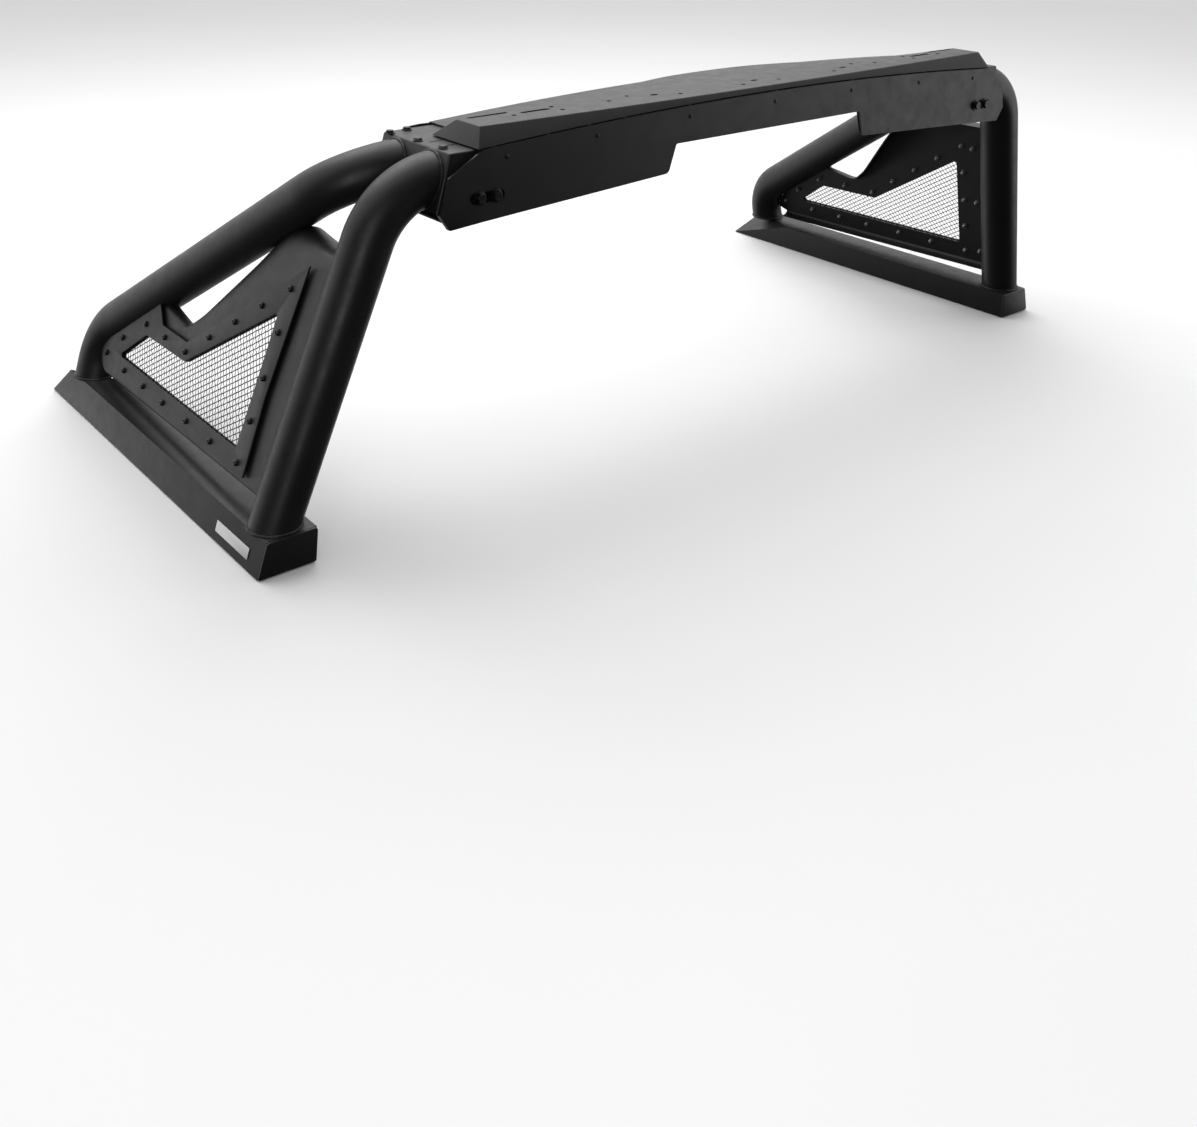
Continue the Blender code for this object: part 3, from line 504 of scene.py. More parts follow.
def plate(outlines, thickness, matrix, edge=0.0):
    """A flat solid on the matrix's plane: the first outline filled, and those inside it left open."""
    curve = bpy.data.curves.new("outline", "CURVE")
    curve.dimensions = "2D"
    curve.fill_mode = "BOTH"
    curve.extrude = thickness / 2 - edge
    curve.bevel_depth = edge
    curve.bevel_resolution = 1
    curve.offset = -edge
    for outline in outlines:
        spline = curve.splines.new("POLY")
        spline.points.add(len(outline) - 1)
        for target, point in zip(spline.points, outline):
            target.co = (*Vector(point).to_3d(), 1.0)
        spline.use_cyclic_u = True
    obj = link(bpy.data.objects.new("outline", curve))
    mesh = baked(obj)
    bm = bmesh.new()
    bm.from_mesh(mesh)
    bmesh.ops.remove_doubles(bm, verts=bm.verts, dist=0.001 * MM)
    bmesh.ops.dissolve_limit(bm, angle_limit=0.002, verts=bm.verts, edges=bm.edges)
    bmesh.ops.recalc_face_normals(bm, faces=bm.faces)
    solid = object_of(bm)
    solid.matrix_world = matrix
    return solid


def upright(y):
    """The frame of a plate that stands across the truck: its own x and y are the rack's x and z."""
    return Matrix.Translation((0, y, 0)) @ Matrix.Rotation(QUARTER, 4, "X")


def level(z):
    """The frame of a plate that lies flat."""
    return Matrix.Translation((0, 0, z))


def panel_frame(depth):
    """The frame of a sheet so deep in the right side panel: x along +Y, y up the lean, z outboard."""
    along = Vector((-TOE, 1, 0)).normalized()
    outward = along.cross(Vector((-LEAN, 0, 1))).normalized()
    up = outward.cross(along)
    origin = Vector((PANEL_X, 0, 0)) - outward * depth
    return Matrix.Translation(origin) @ Matrix((along, up, outward)).transposed().to_4x4()


def on_panel(points):
    """Points (y, z) of the side panel, in the panel's own frame."""
    stretch = math.hypot(1, LEAN)
    return [(y, z * stretch) for y, z in points]


def refined(node, edge, segments=2):
    """A CAD node's mesh, welded and with its edges rounded, in the rails' frame."""
    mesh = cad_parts[node].data.copy()
    mesh.transform(Matrix.Translation((0, -MID_Y, 0)))
    bm = bmesh.new()
    bm.from_mesh(mesh)
    bmesh.ops.remove_doubles(bm, verts=bm.verts, dist=0.01 * MM)
    bmesh.ops.dissolve_limit(bm, angle_limit=0.01, verts=bm.verts, edges=bm.edges)
    bmesh.ops.recalc_face_normals(bm, faces=bm.faces)
    obj = object_of(bm)
    bevel(obj, edge, segments)
    return baked(obj)


# ---------------------------------------------------------------- tubes and welds


def rings_along(path):
    """For each path point, the point and two directions across the path that don't twist along it."""
    ahead = (path[1] - path[0]).normalized()
    side = ahead.cross(Vector((0, 1, 0))).normalized()
    rings = []
    for i, point in enumerate(path):
        following = path[min(i + 1, len(path) - 1)]
        previous = path[max(i - 1, 0)]
        tangent = (following - previous).normalized()
        side = (side - tangent * side.dot(tangent)).normalized()
        rings.append((point, side, tangent.cross(side)))
    return rings


def skin_point(ring, radius, angle):
    point, side, up = ring
    return point + side * (radius * math.cos(angle)) + up * (radius * math.sin(angle))


def tube_path(corners):
    return [Vector(p) for p in rounded(corners, BEND_RADIUS, 28, closed=False)]


def tube_skin(path, radius, sides=64, capped=False):
    """An open skin round a path, or a closed solid."""
    bm = bmesh.new()
    angles = [4 * QUARTER * k / sides for k in range(sides)]
    loops = [[bm.verts.new(skin_point(ring, radius, a)) for a in angles] for ring in rings_along(path)]
    for loop, following in zip(loops, loops[1:]):
        for k in range(sides):
            bm.faces.new((loop[k - 1], loop[k], following[k], following[k - 1]))
    if capped:
        bm.faces.new(loops[0])
        bm.faces.new(loops[-1])
    bmesh.ops.recalc_face_normals(bm, faces=bm.faces)
    return bm


def face_outwards(bm, path):
    """Turn an open tube's faces away from its path."""
    bm.faces.ensure_lookup_table()
    face = bm.faces[0]
    nearest = min(path, key=lambda p: (p - face.calc_center_median()).length)
    if face.normal.dot(face.calc_center_median() - nearest) < 0:
        bmesh.ops.reverse_faces(bm, faces=bm.faces)


def tube(name, corners):
    path = tube_path(corners)
    bm = tube_skin(path, TUBE_RADIUS)
    face_outwards(bm, path)
    everything = bm.verts[:] + bm.edges[:] + bm.faces[:]
    bmesh.ops.bisect_plane(
        bm, geom=everything, plane_co=(0, 0, RAIL_TOP + GAP), plane_no=(0, 0, 1), clear_inner=True
    )
    skin = object_of(bm)
    solidify(skin, TUBE_WALL)
    add_pair(name + "_bent", baked(skin), COAT, name)


def crossing(path, point, normal):
    """Where a tube's skin first meets a plane, as a loop of points."""
    rings = rings_along(path)
    found = []
    for k in range(WELD_POINTS):
        angle = 4 * QUARTER * k / WELD_POINTS
        line = [skin_point(ring, TUBE_RADIUS, angle) for ring in rings]
        for start, end in zip(line, line[1:]):
            before = (start - point).dot(normal)
            after = (end - point).dot(normal)
            if before * after <= 0 and before != after:
                found.append(start.lerp(end, before / (before - after)))
                break
    return found


def weld_bead(loop, radius):
    """A closed bead with the ripples that a weld pool leaves, on a slower swell."""
    curve = bpy.data.curves.new("bead", "CURVE")
    curve.dimensions = "3D"
    curve.bevel_depth = radius
    curve.bevel_resolution = 3
    spline = curve.splines.new("POLY")
    spline.points.add(len(loop) - 1)
    for index, (target, point) in enumerate(zip(spline.points, loop)):
        target.co = (*point, 1.0)
        target.radius = 1.0 + WELD_RIPPLE * (math.sin(index * QUARTER) + math.sin(index * 0.37))
    spline.use_cyclic_u = True
    return baked(link(bpy.data.objects.new("bead", curve)))


def joined(*meshes):
    bm = bmesh.new()
    for mesh in meshes:
        bm.from_mesh(mesh)
    whole = bpy.data.meshes.new("joined")
    bm.to_mesh(whole)
    bm.free()
    return whole


def tube_welds():
    """Fillet welds at both tubes' feet, and where they enter the saddle."""
    rail_plane = (Vector((0, 0, RAIL_TOP + 1.2 * MM)), Vector((0, 0, 1)))
    high, low = SADDLE_PROFILE[1], SADDLE_PROFILE[2]
    wall_normal = Vector((high[1] - low[1], 0, low[0] - high[0])).normalized()
    wall_plane = (Vector((high[0] + 0.8 * MM, 0, high[1])), wall_normal)
    feet = []
    necks = []
    for corners in (FRONT_TUBE, REAR_TUBE):
        path = tube_path(corners)
        feet.append(weld_bead(crossing(path, *rail_plane), FOOT_WELD))
        necks.append(weld_bead(crossing(path, *wall_plane), NECK_WELD))
    add_pair("foot_welds", joined(*feet), WELD)
    add_pair("neck_welds", joined(*necks), WELD)


# ---------------------------------------------------------------- fasteners


def revolve(rows, sides=24):
    """Points and faces of a turned shape. A row is a radius and a height in mm, and 1 for a hexagon."""
    points = []
    faces = []
    step = 4 * QUARTER / sides
    sixth = 4 * QUARTER / 6
    for radius, height, hexagon in rows:
        for k in range(sides):
            a = k * step
            corner = (a % sixth) - sixth / 2
            reach = radius / math.cos(corner) if hexagon else radius
            points.append((reach * math.cos(a) * MM, reach * math.sin(a) * MM, height * MM))
    for row in range(len(rows) - 1):
        for k in range(sides):
            following = (k + 1) % sides
            low, high = row * sides, (row + 1) * sides
            faces.append((low + k, low + following, high + following, high + k))
    faces.append(tuple(reversed(range(sides))))
    faces.append(tuple(range((len(rows) - 1) * sides, len(rows) * sides)))
    return points, faces


def stamped(shape, frames):
    """One mesh with a copy of the shape at each frame."""
    points = []
    faces = []
    for matrix in frames:
        first = len(points)
        points += [matrix @ Vector(p) for p in shape[0]]
        faces += [tuple(first + i for i in face) for face in shape[1]]
    mesh = bpy.data.meshes.new("stamped")
    mesh.from_pydata([tuple(p) for p in points], [], faces)
    mesh.validate()
    return mesh


BUTTON_HEAD = revolve(
    (
        (2.0, -3.0, 0),
        (2.0, -0.1, 0),
        (4.8, 0.0, 0),
        (4.8, 1.9, 0),
        (4.5, 3.2, 0),
        (3.8, 4.0, 0),
        (2.9, 4.4, 0),
        (2.1, 4.5, 0),
        (1.6, 4.5, 1),
        (1.5, 4.2, 1),
        (1.5, 2.0, 1),
    )
)
LOCK_NUT = revolve(
    (
        (2.2, -0.3, 0),
        (5.0, 0.0, 0),
        (5.0, 0.7, 0),
        (4.6, 0.9, 0),
        (4.0, 0.9, 1),
        (4.0, 4.2, 1),
        (3.9, 4.6, 0),
        (3.3, 5.4, 0),
        (2.3, 5.7, 0),
        (2.0, 5.7, 0),
        (2.0, 7.0, 0),
        (1.5, 7.5, 0),
    )
)
FLANGE_BOLT = revolve(
    (
        (4.0, -14.0, 0),
        (4.0, 0.0, 0),
        (9.7, 0.0, 0),
        (10.0, 0.4, 0),
        (9.8, 1.1, 0),
        (7.6, 1.6, 0),
        (6.5, 1.7, 1),
        (6.5, 6.0, 1),
        (6.5, 6.8, 0),
        (4.8, 6.9, 0),
        (4.6, 6.6, 0),
    ),
    36,
)
TOP_BOLT = revolve(
    (
        (3.0, -1.6, 0),
        (3.0, 0.0, 0),
        (7.1, 0.0, 0),
        (7.2, 0.5, 0),
        (6.6, 1.2, 0),
        (5.0, 1.5, 1),
        (5.0, 3.4, 1),
        (4.9, 3.9, 0),
        (3.6, 4.0, 0),
    ),
    36,
)
FACE_SCREW = revolve(
    (
        (1.6, -2.8, 0),
        (1.6, -0.1, 0),
        (3.3, 0.0, 0),
        (3.35, 0.4, 0),
        (2.9, 1.0, 0),
        (1.9, 1.35, 0),
        (1.2, 1.4, 0),
        (1.0, 0.6, 0),
    )
)
SEAM_CLIP = revolve(((1.3, -1.0, 0), (2.7, 0.0, 0), (2.7, 0.9, 0), (2.2, 1.5, 0), (1.0, 1.7, 0)))


def panel_fasteners():
    """Button-head screws through the trim, and lock nuts behind the side panel."""
    face = panel_frame(0)
    back = panel_frame(PANEL_DEPTH + PANEL_SHEET) @ Matrix.Rotation(2 * QUARTER, 4, "X")
    screws = []
    nuts = []
    for index, (y, z) in enumerate(on_panel(PANEL_BOLTS)):
        turn = Matrix.Rotation(index * 1.7, 4, "Z")
        screws.append(face @ Matrix.Translation((y, z, 0)) @ turn)
        nuts.append(back @ Matrix.Translation((y, -z, 0)) @ turn)
    for index, (y, z) in enumerate(on_panel(INNER_NUTS)):
        turn = Matrix.Rotation(index * 2.3, 4, "Z")
        nuts.append(back @ Matrix.Translation((y, -z, 0)) @ turn)
    add_pair("trim_screws", stamped(BUTTON_HEAD, screws), SCREW)
    add_pair("panel_nuts", stamped(LOCK_NUT, nuts), ZINC)


def slot_bolts():
    """Flange bolts in the crossbar's end slots, each pair turned apart."""
    ends = (("front", FRONT_FACE_Y - GAP, QUARTER), ("rear", REAR_FACE_Y + GAP, -QUARTER))
    for where, face_y, turn in ends:
        for label, side in (("inner", -1), ("outer", 1)):
            x = SLOT_CENTRE[0] + side * SLOT_BOLT_SPACING / 2
            at = Matrix.Translation((x, face_y, SLOT_CENTRE[1])) @ Matrix.Rotation(turn, 4, "X")
            bolt = stamped(FLANGE_BOLT, [at @ Matrix.Rotation(side * 0.3, 4, "Z")])
            node = f"{where}_slot_bolt_{label}"
            add_pair(node + "_hex", bolt, BOLT, node)


def saddle_bolts():
    """Low hexagon bolts on the saddle's top, each turned its own way."""
    top = SADDLE_PROFILE[0][1] + GAP
    for index, (x, y) in enumerate(SADDLE_BOLTS):
        at = Matrix.Translation((x, y, top)) @ Matrix.Rotation(index * 0.9, 4, "Z")
        node = f"saddle_bolt_{index + 1}"
        add_pair(node + "_hex", stamped(TOP_BOLT, [at]), BOLT, node)


# ---------------------------------------------------------------- legs


def rail():
    """The rail and what lies under it, which the CAD has in full."""
    add_pair("base_rail_folded", refined("right_base_rail", 1.0 * MM, 3), COAT, "base_rail")
    add_pair("rail_end_cap", refined("right_rail_end_plate", 0.7 * MM, 2), COAT, "rail_end_plate")
    add_pair("mounting_strip", refined("right_mounting_plate", 0.5 * MM, 2), ZINC, "mounting_plate")
    add_pair("rail_gasket", refined("right_rail_pad", 0.5 * MM, 2), RUBBER, "rail_pad")


def opening_outline():
    return rounded(on_panel(OPENING), OPENING_RADIUS, 6)


def trim_plate():
    """The plate bolted over the mesh's edge."""
    outlines = [rounded(on_panel(TRIM_OUTLINE), TRIM_RADII, 12), opening_outline()]
    piece = plate(outlines, TRIM_SHEET, panel_frame(TRIM_SHEET / 2), edge=0.5 * MM)
    spaces = tube_spaces()
    cut(piece, *spaces)
    add_pair("trim_cover", baked(piece, *spaces), COAT, "trim_plate")


def tube_spaces():
    """Cutters that leave room for both tubes."""
    spaces = []
    for corners in (FRONT_TUBE, REAR_TUBE):
        bm = tube_skin(tube_path(corners), TUBE_RADIUS + TUBE_CLEARANCE, capped=True)
        spaces.append(object_of(bm, "tube_space"))
    return spaces


def eased(stations):
    """The stations of a rolled edge, each inner one rounded off into five."""
    rows = [np.array([*fold, *corner, depth]) for fold, corner, depth in stations]
    found = [rows[0]]
    for before, here, after in zip(rows, rows[1:], rows[2:]):
        start = here + (before - here) * min(0.5, NOTCH_ROUND / np.linalg.norm(before - here))
        end = here + (after - here) * min(0.5, NOTCH_ROUND / np.linalg.norm(after - here))
        for t in np.linspace(0, 1, 5):
            found.append(start * (1 - t) ** 2 + here * (2 * t * (1 - t)) + end * t**2)
    return found + [rows[-1]]


def rolled_section(station):
    """The quadratic curve across a rolled edge, from the flat sheet to the free edge."""
    fold, corner = on_panel((station[:2], station[2:4]))
    flat_end = Vector((*fold, 0))
    bend = Vector((*corner, 0))
    free_end = Vector((*corner, -station[4]))
    steps = [i / ROLL_STEPS for i in range(ROLL_STEPS + 1)]
    return [flat_end * (1 - t) ** 2 + bend * (2 * t * (1 - t)) + free_end * t**2 for t in steps]


def side_panel():
    """The sheet behind the mesh: its edges roll inboard and are fitted to the tubes."""
    bm = bmesh.new()
    foot, notch = (
        [[bm.verts.new(point) for point in rolled_section(station)] for station in eased(roll)]
        for roll in (FOOT_ROLL, NOTCH_ROLL)
    )
    rear_edge = [bm.verts.new((*point, 0)) for point in on_panel(PANEL_REAR_EDGE)]
    bm.faces.new([row[0] for row in foot] + rear_edge + [row[0] for row in notch])
    for rows in (foot, notch):
        for row, following in zip(rows, rows[1:]):
            for k in range(ROLL_STEPS):
                bm.faces.new((row[k], row[k + 1], following[k + 1], following[k]))
    bmesh.ops.recalc_face_normals(bm, faces=bm.faces)
    flat = max(bm.faces, key=lambda face: face.calc_area())
    if flat.normal.z < 0:
        bmesh.ops.reverse_faces(bm, faces=bm.faces)
    panel = object_of(bm, "panel")
    panel.matrix_world = panel_frame(PANEL_DEPTH)
    solidify(panel, PANEL_SHEET)
    window = plate([opening_outline()], THROUGH, panel_frame(PANEL_DEPTH))
    bm = bmesh.new()
    in_rail = level(RAIL_TOP + GAP - RAIL_BLOCK[2] / 2) @ Matrix.Translation((RAIL_TOP_X, 0, 0))
    bmesh.ops.create_cube(bm, size=1.0, matrix=in_rail @ Matrix.Diagonal((*RAIL_BLOCK, 1.0)))
    cutters = [window, *tube_spaces(), object_of(bm, "rail_block")]
    cut(panel, *cutters)
    add_pair("side_panel_folded", baked(panel, *cutters), COAT, "side_panel")


def inside_spans(outline, origin, direction):
    """The stretches of a line that lie inside an outline, as pairs of distances along the line."""
    hits = []
    across = Vector((-direction.y, direction.x))
    for start, end in zip(outline, outline[1:] + outline[:1]):
        before = (start - origin).dot(across)
        after = (end - origin).dot(across)
        if (before > 0) != (after > 0):
            hits.append((start.lerp(end, before / (before - after)) - origin).dot(direction))
    hits.sort()
    return list(zip(hits[::2], hits[1::2]))


def woven_wires(outline, direction, phase):
    """The crimped wires of one direction, each over and under the wires that cross it."""
    across = Vector((-direction.y, direction.x))
    reach = max(abs(point.dot(across)) for point in outline)
    count = int(reach / WIRE_PITCH) + 1
    crimp = WIRE_CRIMP * (MESH_THICKNESS / 2 - WIRE_RADIUS)
    wires = []
    for number in range(-count, count + 1):
        origin = across * (number * WIRE_PITCH)
        for start, end in inside_spans(outline, origin, direction):
            steps = max(2, round((end - start) / (WIRE_PITCH / 4)))
            wire = []
            for k in range(steps + 1):
                s = start + (end - start) * k / steps
                wave = math.cos(2 * QUARTER * (s / WIRE_PITCH + number + phase))
                wire.append((*(origin + direction * s), crimp * wave))
            wires.append(wire)
    return wires


def mesh_panel():
    """Woven wire cloth, one direction along the opening's slanted edge."""
    outline = [Vector(p) for p in on_panel(MESH_OUTLINE)]
    low, high = (Vector(p) for p in on_panel(OPENING[2:4]))
    along = (high - low).normalized()
    across = Vector((-along.y, along.x))
    curve = bpy.data.curves.new("wires", "CURVE")
    curve.dimensions = "3D"
    curve.bevel_depth = WIRE_RADIUS
    curve.bevel_resolution = 1
    curve.use_fill_caps = True
    for direction, phase, size in ((along, 0, 1.0), (across, 1, CROSS_WIRE)):
        for wire in woven_wires(outline, direction, phase):
            spline = curve.splines.new("POLY")
            spline.points.add(len(wire) - 1)
            for target, point in zip(spline.points, wire):
                target.co = (*point, 1.0)
                target.radius = size
    cloth = link(bpy.data.objects.new("wires", curve))
    cloth.matrix_world = panel_frame(TRIM_SHEET + GAP + MESH_THICKNESS / 2)
    add_pair("woven_mesh", baked(cloth), WIRE, "mesh_panel", angle=60)


def saddle():
    """The folded bracket under the cover's end: top plate, end wall and two cheeks."""
    front, rear = SADDLE_Y
    solid = plate([SADDLE_PROFILE], rear - front, upright((front + rear) / 2))
    solid.data.transform(solid.matrix_world)
    solid.matrix_world = Matrix()
    bm = bmesh.new()
    bm.from_mesh(solid.data)
    bpy.data.objects.remove(solid)
    openings = [face for face in bm.faces if face.normal.z < -0.9 or face.normal.x < -0.9]
    bmesh.ops.delete(bm, geom=openings, context="FACES")
    shell = object_of(bm, "saddle")
    bevel(shell, SADDLE_BEND, 5)
    solidify(shell, SADDLE_SHEET)
    outlines = [slot_outline(centre, *SADDLE_SLIT_SIZE) for centre in SADDLE_SLITS]
    slits = plate(outlines, THROUGH, level(SADDLE_PROFILE[0][1]))
    cut(shell, slits)
    add_pair("saddle_folded", baked(shell, slits), COAT, "saddle")


def badge():
    """A blank name plate with rounded corners on the outer face of the left rail."""
    low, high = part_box("badge_plate")
    centre = (low + high) / 2 - Vector((0, MID_Y, 0))
    lean = math.atan2(RAIL_HIGH.x - RAIL_TOP_X, RAIL_TOP)
    length, height, thickness = BADGE_SIZE
    corners = [(x * length / 2, y * height / 2) for x, y in ((-1, -1), (1, -1), (1, 1), (-1, 1))]
    # the plate's own x runs along the rail, its y up the rail's face and its z outboard
    up = Vector((math.sin(lean), 0, math.cos(lean)))
    outward = Vector((-math.cos(lean), 0, math.sin(lean)))
    along = up.cross(outward)
    place = Matrix.Translation(centre) @ Matrix((along, up, outward)).transposed().to_4x4()
    piece = plate([rounded(corners, 1.2 * MM, 6)], thickness, place, edge=0.3 * MM)
    add("badge_blank", baked(piece), BADGE, "left_leg", "badge_plate")


# ---------------------------------------------------------------- crossbar


def arch(x):
    """The height of the fascias' arched top."""
    return ARCH_TOP - ARCH_CURVE * x * x


def skin_outline(low_edge):
    """The fascia's outline (x, z): the arched top from right to left, then the left and right lower edges."""
    top = [Vector((x, arch(x))) for x in np.linspace(SKIN_TOP_X, -SKIN_TOP_X, 2 * ARCH_STEPS + 1)]
    corners = [*low_edge, (0, low_edge[-1][1])]
    right = rounded(corners, (0, 0, 0, 0, WING_ROUND, WING_TIP, 0), 10, closed=False)[:-1]
    left = [Vector((-p.x, p.y)) for p in right]
    return top, left, list(reversed(right))


def fascia(node, face_y, inward, low_edge, ledge, facet):
    """A flat face with a ledge folded in along the arch and a facet folded in at each lower corner."""
    top, left, right = skin_outline(low_edge)
    ledge_depth, left_out = ledge
    bm = bmesh.new()
    corners = [bm.verts.new((p.x, face_y, p.y)) for p in top + left + right]
    face = bm.faces.new(corners)
    face.normal_update()
    if face.normal.y * inward > 0:
        face.normal_flip()
    count = len(corners)
    ledge_run = range(left_out, len(top) - 1 - left_out)
    ledge_edges = [bm.edges.get((corners[i], corners[i + 1])) for i in ledge_run]
    low_left = bm.edges.get((corners[len(top) + 1], corners[len(top) + 2]))
    low_right = bm.edges.get((corners[count - 3], corners[count - 2]))
    folds = []
    for edges, depth in ((ledge_edges, ledge_depth), ([low_right], facet), ([low_left], facet)):
        folds += edges
        grown = bmesh.ops.extrude_edge_only(bm, edges=edges)["geom"]
        rim = [item for item in grown if isinstance(item, bmesh.types.BMVert)]
        bmesh.ops.translate(bm, verts=rim, vec=(0, inward * depth, 0))
    bmesh.ops.bevel(bm, geom=folds, offset=SHEET_BEND, segments=4, affect="EDGES", profile=0.5)
    bmesh.ops.recalc_face_normals(bm, faces=bm.faces)
    widest = max(bm.faces, key=lambda piece: piece.calc_area())
    if widest.normal.y * inward > 0:
        bmesh.ops.reverse_faces(bm, faces=bm.faces)
    sheet = object_of(bm, "fascia")
    solidify(sheet, SKIN_SHEET)
    slot_x, slot_z = SLOT_CENTRE
    outlines = [slot_outline((side * slot_x, slot_z), *SLOT_SIZE) for side in (-1, 1)]
    slots = plate(outlines, THROUGH, upright(face_y))
    cut(sheet, slots)
    add(node + "_folded", baked(sheet, slots), COAT, "crossbar", node, angle=25)


def fascia_screws():
    """Small screws along the front fascia's face and in the seam under the cover."""
    screws = []
    clips = []
    for side in (-1, 1):
        first = 0 if side > 0 else 1  # the one in the middle is there once
        for x in FACE_SCREWS_X[first:]:
            place = Matrix.Translation((side * x, arch(x) - FACE_SCREW_DROP, 0))
            screws.append(upright(FRONT_FACE_Y) @ place)
        for x in LEDGE_CLIPS_X[first:]:
            clips.append(Matrix.Translation((side * x, FRONT_FACE_Y + LEDGE_CLIP_INSET, arch(x))))
    add("fascia_screws", stamped(FACE_SCREW, screws), SCREW, "crossbar")
    add("seam_clips", stamped(SEAM_CLIP, clips), SCREW, "crossbar")


def crossbar_inside():
    """The pan under the crossbar, and the fixed half of the lifting drive."""
    add("bottom_pan_bent", refined("bottom_pan", 0.5 * MM), COAT, "crossbar", "bottom_pan")
    drive = (
        ("lift_housing", "cast", 0.4 * MM, CAST),
        ("lift_bush", "ring", 0.3 * MM, NYLON),
        ("lift_motor", "can", 0.3 * MM, ZINC),
    )
    bodies = ("crossbar", "crossbar")
    for node, form, edge, look in drive:
        add_pair(f"{node}_{form}", refined(f"right_{node}", edge), look, node, bodies=bodies)


# ---------------------------------------------------------------- light mount


def cover_section(x):
    """The cover's front foot, front top, rear top and rear foot at x. The foot line is a little longer."""
    foot_x = x * COVER_HALF_FOOT / COVER_HALF_TOP
    foot_z = arch(foot_x) + COVER_CLEARANCE
    drop = COVER_TOP - foot_z
    bulge = COVER_REAR_BULGE * math.exp(-(abs(x / COVER_BULGE_WIDTH) ** COVER_BULGE_POWER))
    rear = COVER_REAR_Y + bulge
    flare = COVER_REAR_FLARE[0] + COVER_REAR_FLARE[1] * drop
    return (
        (foot_x, COVER_FRONT_Y, foot_z),
        (x, COVER_FRONT_Y + COVER_FRONT_FLARE * drop, COVER_TOP),
        (x, rear, COVER_TOP),
        (foot_x, rear + flare, foot_z),
    )


def light_cover():
    """The shallow cover: a loft of sections, closed at its ends, with lamp slots and holes in its top."""
    bm = bmesh.new()
    rows = []
    for x in np.linspace(-COVER_HALF_TOP, COVER_HALF_TOP, COVER_STATIONS + 1):
        rows.append([bm.verts.new(point) for point in cover_section(float(x))])
    for row, following in zip(rows, rows[1:]):
        for k in range(3):
            bm.faces.new((row[k], row[k + 1], following[k + 1], following[k]))
    bm.faces.new(rows[0])
    bm.faces.new(list(reversed(rows[-1])))
    bmesh.ops.recalc_face_normals(bm, faces=bm.faces)
    top = max(bm.faces, key=lambda face: face.calc_center_median().z)
    if top.normal.z < 0:
        bmesh.ops.reverse_faces(bm, faces=bm.faces)
    inner = [edge for edge in bm.edges if len(edge.link_faces) == 2]
    folds = [edge for edge in inner if edge.calc_face_angle() > COVER_FOLD_ANGLE]
    bmesh.ops.bevel(bm, geom=folds, offset=SHEET_BEND, segments=4, affect="EDGES", profile=0.5)
    shell = object_of(bm, "cover")
    solidify(shell, COVER_SHEET)
    middle_y, middle_length = COVER_MIDDLE_SLOT
    outlines = [slot_outline((0, middle_y), middle_length, COVER_SLOT_WIDTH)]
    for side in (-1, 1):
        outlines += [slot_outline((side * x, y), length, COVER_SLOT_WIDTH) for x, y, length in COVER_SLOTS]
        outlines += [circle((side * x, y), COVER_HOLE_RADIUS) for x, y in COVER_HOLES]
    holes = plate(outlines, COVER_CUT, level(COVER_TOP))
    cut(shell, holes)
    add("light_cover_formed", baked(shell, holes), COAT, "light_mount", "light_cover", angle=25)


def lift_parts():
    """The lamps' channel under the cover, and the rods that carry both."""
    add("light_channel_rolled", refined("light_channel", 0.4 * MM), ZINC, "light_mount", "light_channel")
    bodies = ("light_mount", "light_mount")
    add_pair("lift_rod_ground", refined("right_lift_rod", 0.5 * MM), ZINC, "lift_rod", bodies=bodies)


# ---------------------------------------------------------------- stage


def floor():
    """A wide pale floor."""
    look = Look("studio_floor", "")
    look.drive(Base_Color=look.ramp(look.noise(1.3, 3.0), (0.93, 0.93, 0.93), (0.95, 0.95, 0.95)))
    look.set(Roughness=0.9)
    bm = bmesh.new()
    bmesh.ops.create_circle(bm, cap_ends=True, segments=96, radius=FLOOR_RADIUS)
    obj = object_of(bm, "studio_floor")
    obj.location.z = -1.0 * MM
    obj.data.materials.append(look.material)
    obj.visible_glossy = False
    obj.visible_diffuse = False


def softbox(name, location, target, size, power):
    light = bpy.data.lights.new(name, "AREA")
    light.shape = "RECTANGLE"
    light.size, light.size_y = size
    light.energy = power
    obj = link(bpy.data.objects.new(name, light))
    obj.location = location
    obj.rotation_euler = (Vector(target) - Vector(location)).to_track_quat("-Z", "Y").to_euler()


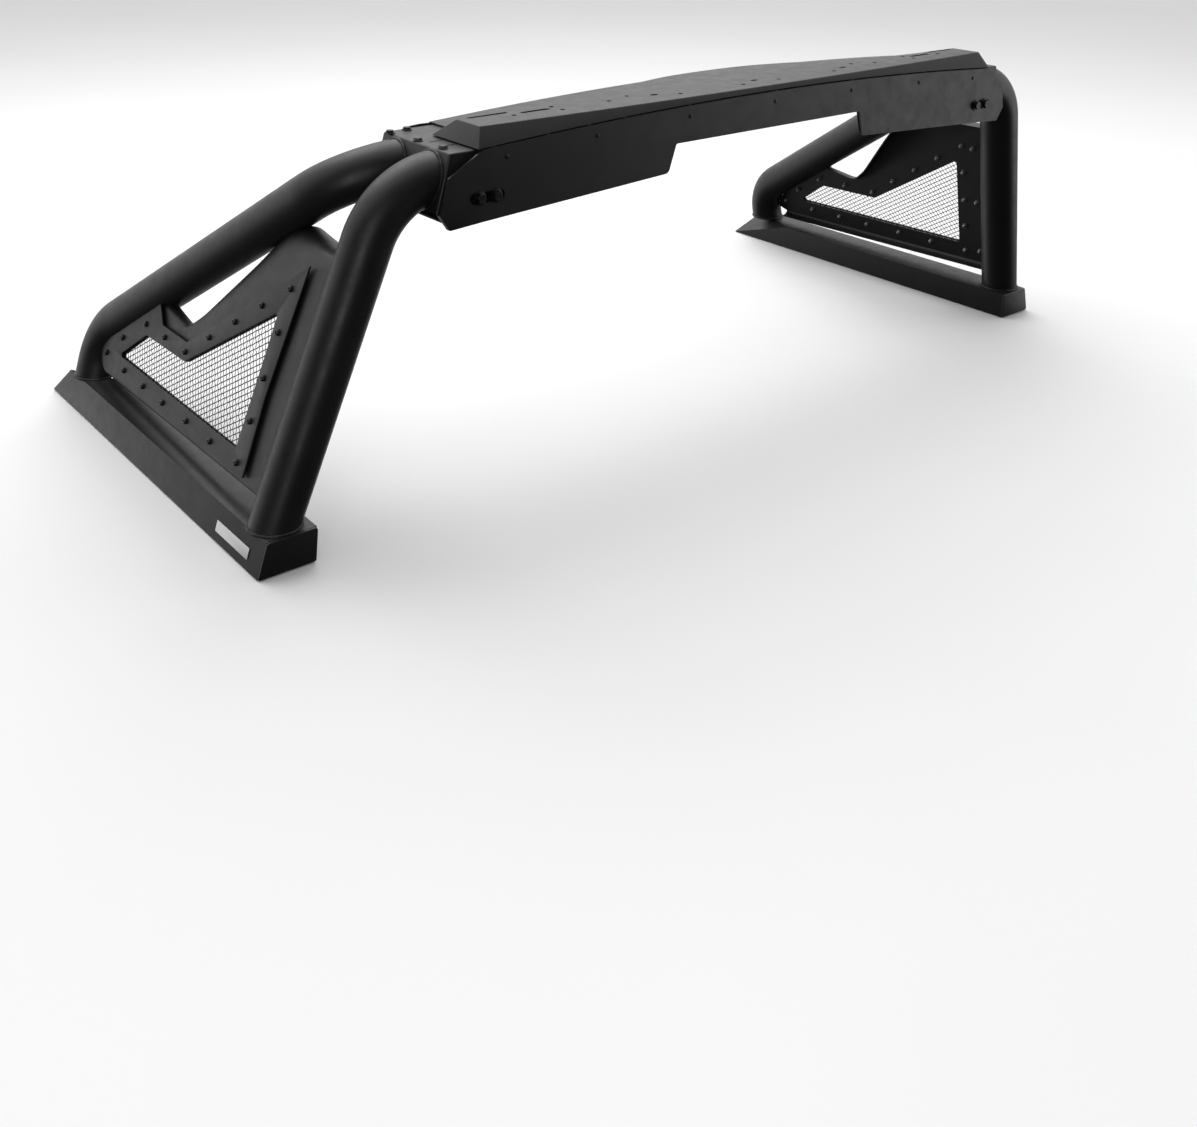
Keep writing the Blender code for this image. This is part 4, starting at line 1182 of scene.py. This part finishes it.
def studio_world():
    """A studio bright above and behind, and dark below and towards the camera, which itself sees it pale."""
    world = bpy.data.worlds.new("studio")
    world.use_nodes = True
    nodes, links = world.node_tree.nodes, world.node_tree.links
    coords = nodes.new("ShaderNodeTexCoord")
    towards = nodes.new("ShaderNodeVectorMath")
    towards.operation = "DOT_PRODUCT"
    towards.inputs[1].default_value = Vector(BRIGHT_SIDE).normalized() / 2
    centred = nodes.new("ShaderNodeMath")
    centred.operation = "ADD"
    centred.inputs[1].default_value = 0.5
    ramp = nodes.new("ShaderNodeValToRGB")
    links.new(coords.outputs["Generated"], towards.inputs[0])
    links.new(towards.outputs["Value"], centred.inputs[0])
    links.new(centred.outputs[0], ramp.inputs["Fac"])
    elements = ramp.color_ramp.elements
    while len(elements) < len(STUDIO_SHADES):
        elements.new(0.5)
    for element, (place, shade) in zip(elements, STUDIO_SHADES):
        element.position = place
        element.color = (shade, shade, shade, 1)
    backdrop = nodes.new("ShaderNodeBackground")
    rays = nodes.new("ShaderNodeLightPath")
    either = nodes.new("ShaderNodeMixShader")
    links.new(ramp.outputs["Color"], nodes["Background"].inputs["Color"])
    links.new(rays.outputs["Is Camera Ray"], either.inputs["Fac"])
    links.new(nodes["Background"].outputs[0], either.inputs[1])
    links.new(backdrop.outputs[0], either.inputs[2])
    links.new(either.outputs[0], nodes["World Output"].inputs["Surface"])
    backdrop.inputs["Color"].default_value = (BACKDROP_SHADE, BACKDROP_SHADE, BACKDROP_SHADE, 1)
    bpy.context.scene.world = world


def camera():
    data = bpy.data.cameras.new("camera")
    data.sensor_width = SENSOR_WIDTH
    data.lens = LENS
    data.shift_x, data.shift_y = LENS_SHIFT
    data.clip_start = 0.05
    data.clip_end = 200.0
    obj = link(bpy.data.objects.new("camera", data))
    turn = Matrix((CAMERA_RIGHT, CAMERA_UP, -Vector(CAMERA_AHEAD))).transposed().to_4x4()
    obj.matrix_world = Matrix.Translation((0, MID_Y, 0)) @ Matrix.Translation(CAMERA_PLACE) @ turn
    bpy.context.scene.camera = obj


camera()
tube("front_tube", FRONT_TUBE)
tube("rear_tube", REAR_TUBE)
tube_welds()
rail()
trim_plate()
side_panel()
mesh_panel()
panel_fasteners()
saddle()
slot_bolts()
saddle_bolts()
badge()
fascia("front_fascia", FRONT_FACE_Y, 1, FRONT_LOW_EDGE, FRONT_LEDGE, FRONT_FACET)
fascia("rear_fascia", REAR_FACE_Y, -1, REAR_LOW_EDGE, REAR_LEDGE, REAR_FACET)
fascia_screws()
crossbar_inside()
light_cover()
lift_parts()

floor()
studio_world()
for light, (location, target, size, power) in SOFTBOXES.items():
    softbox(light, location, target, size, power)
bpy.context.scene.view_settings.view_transform = "Standard"
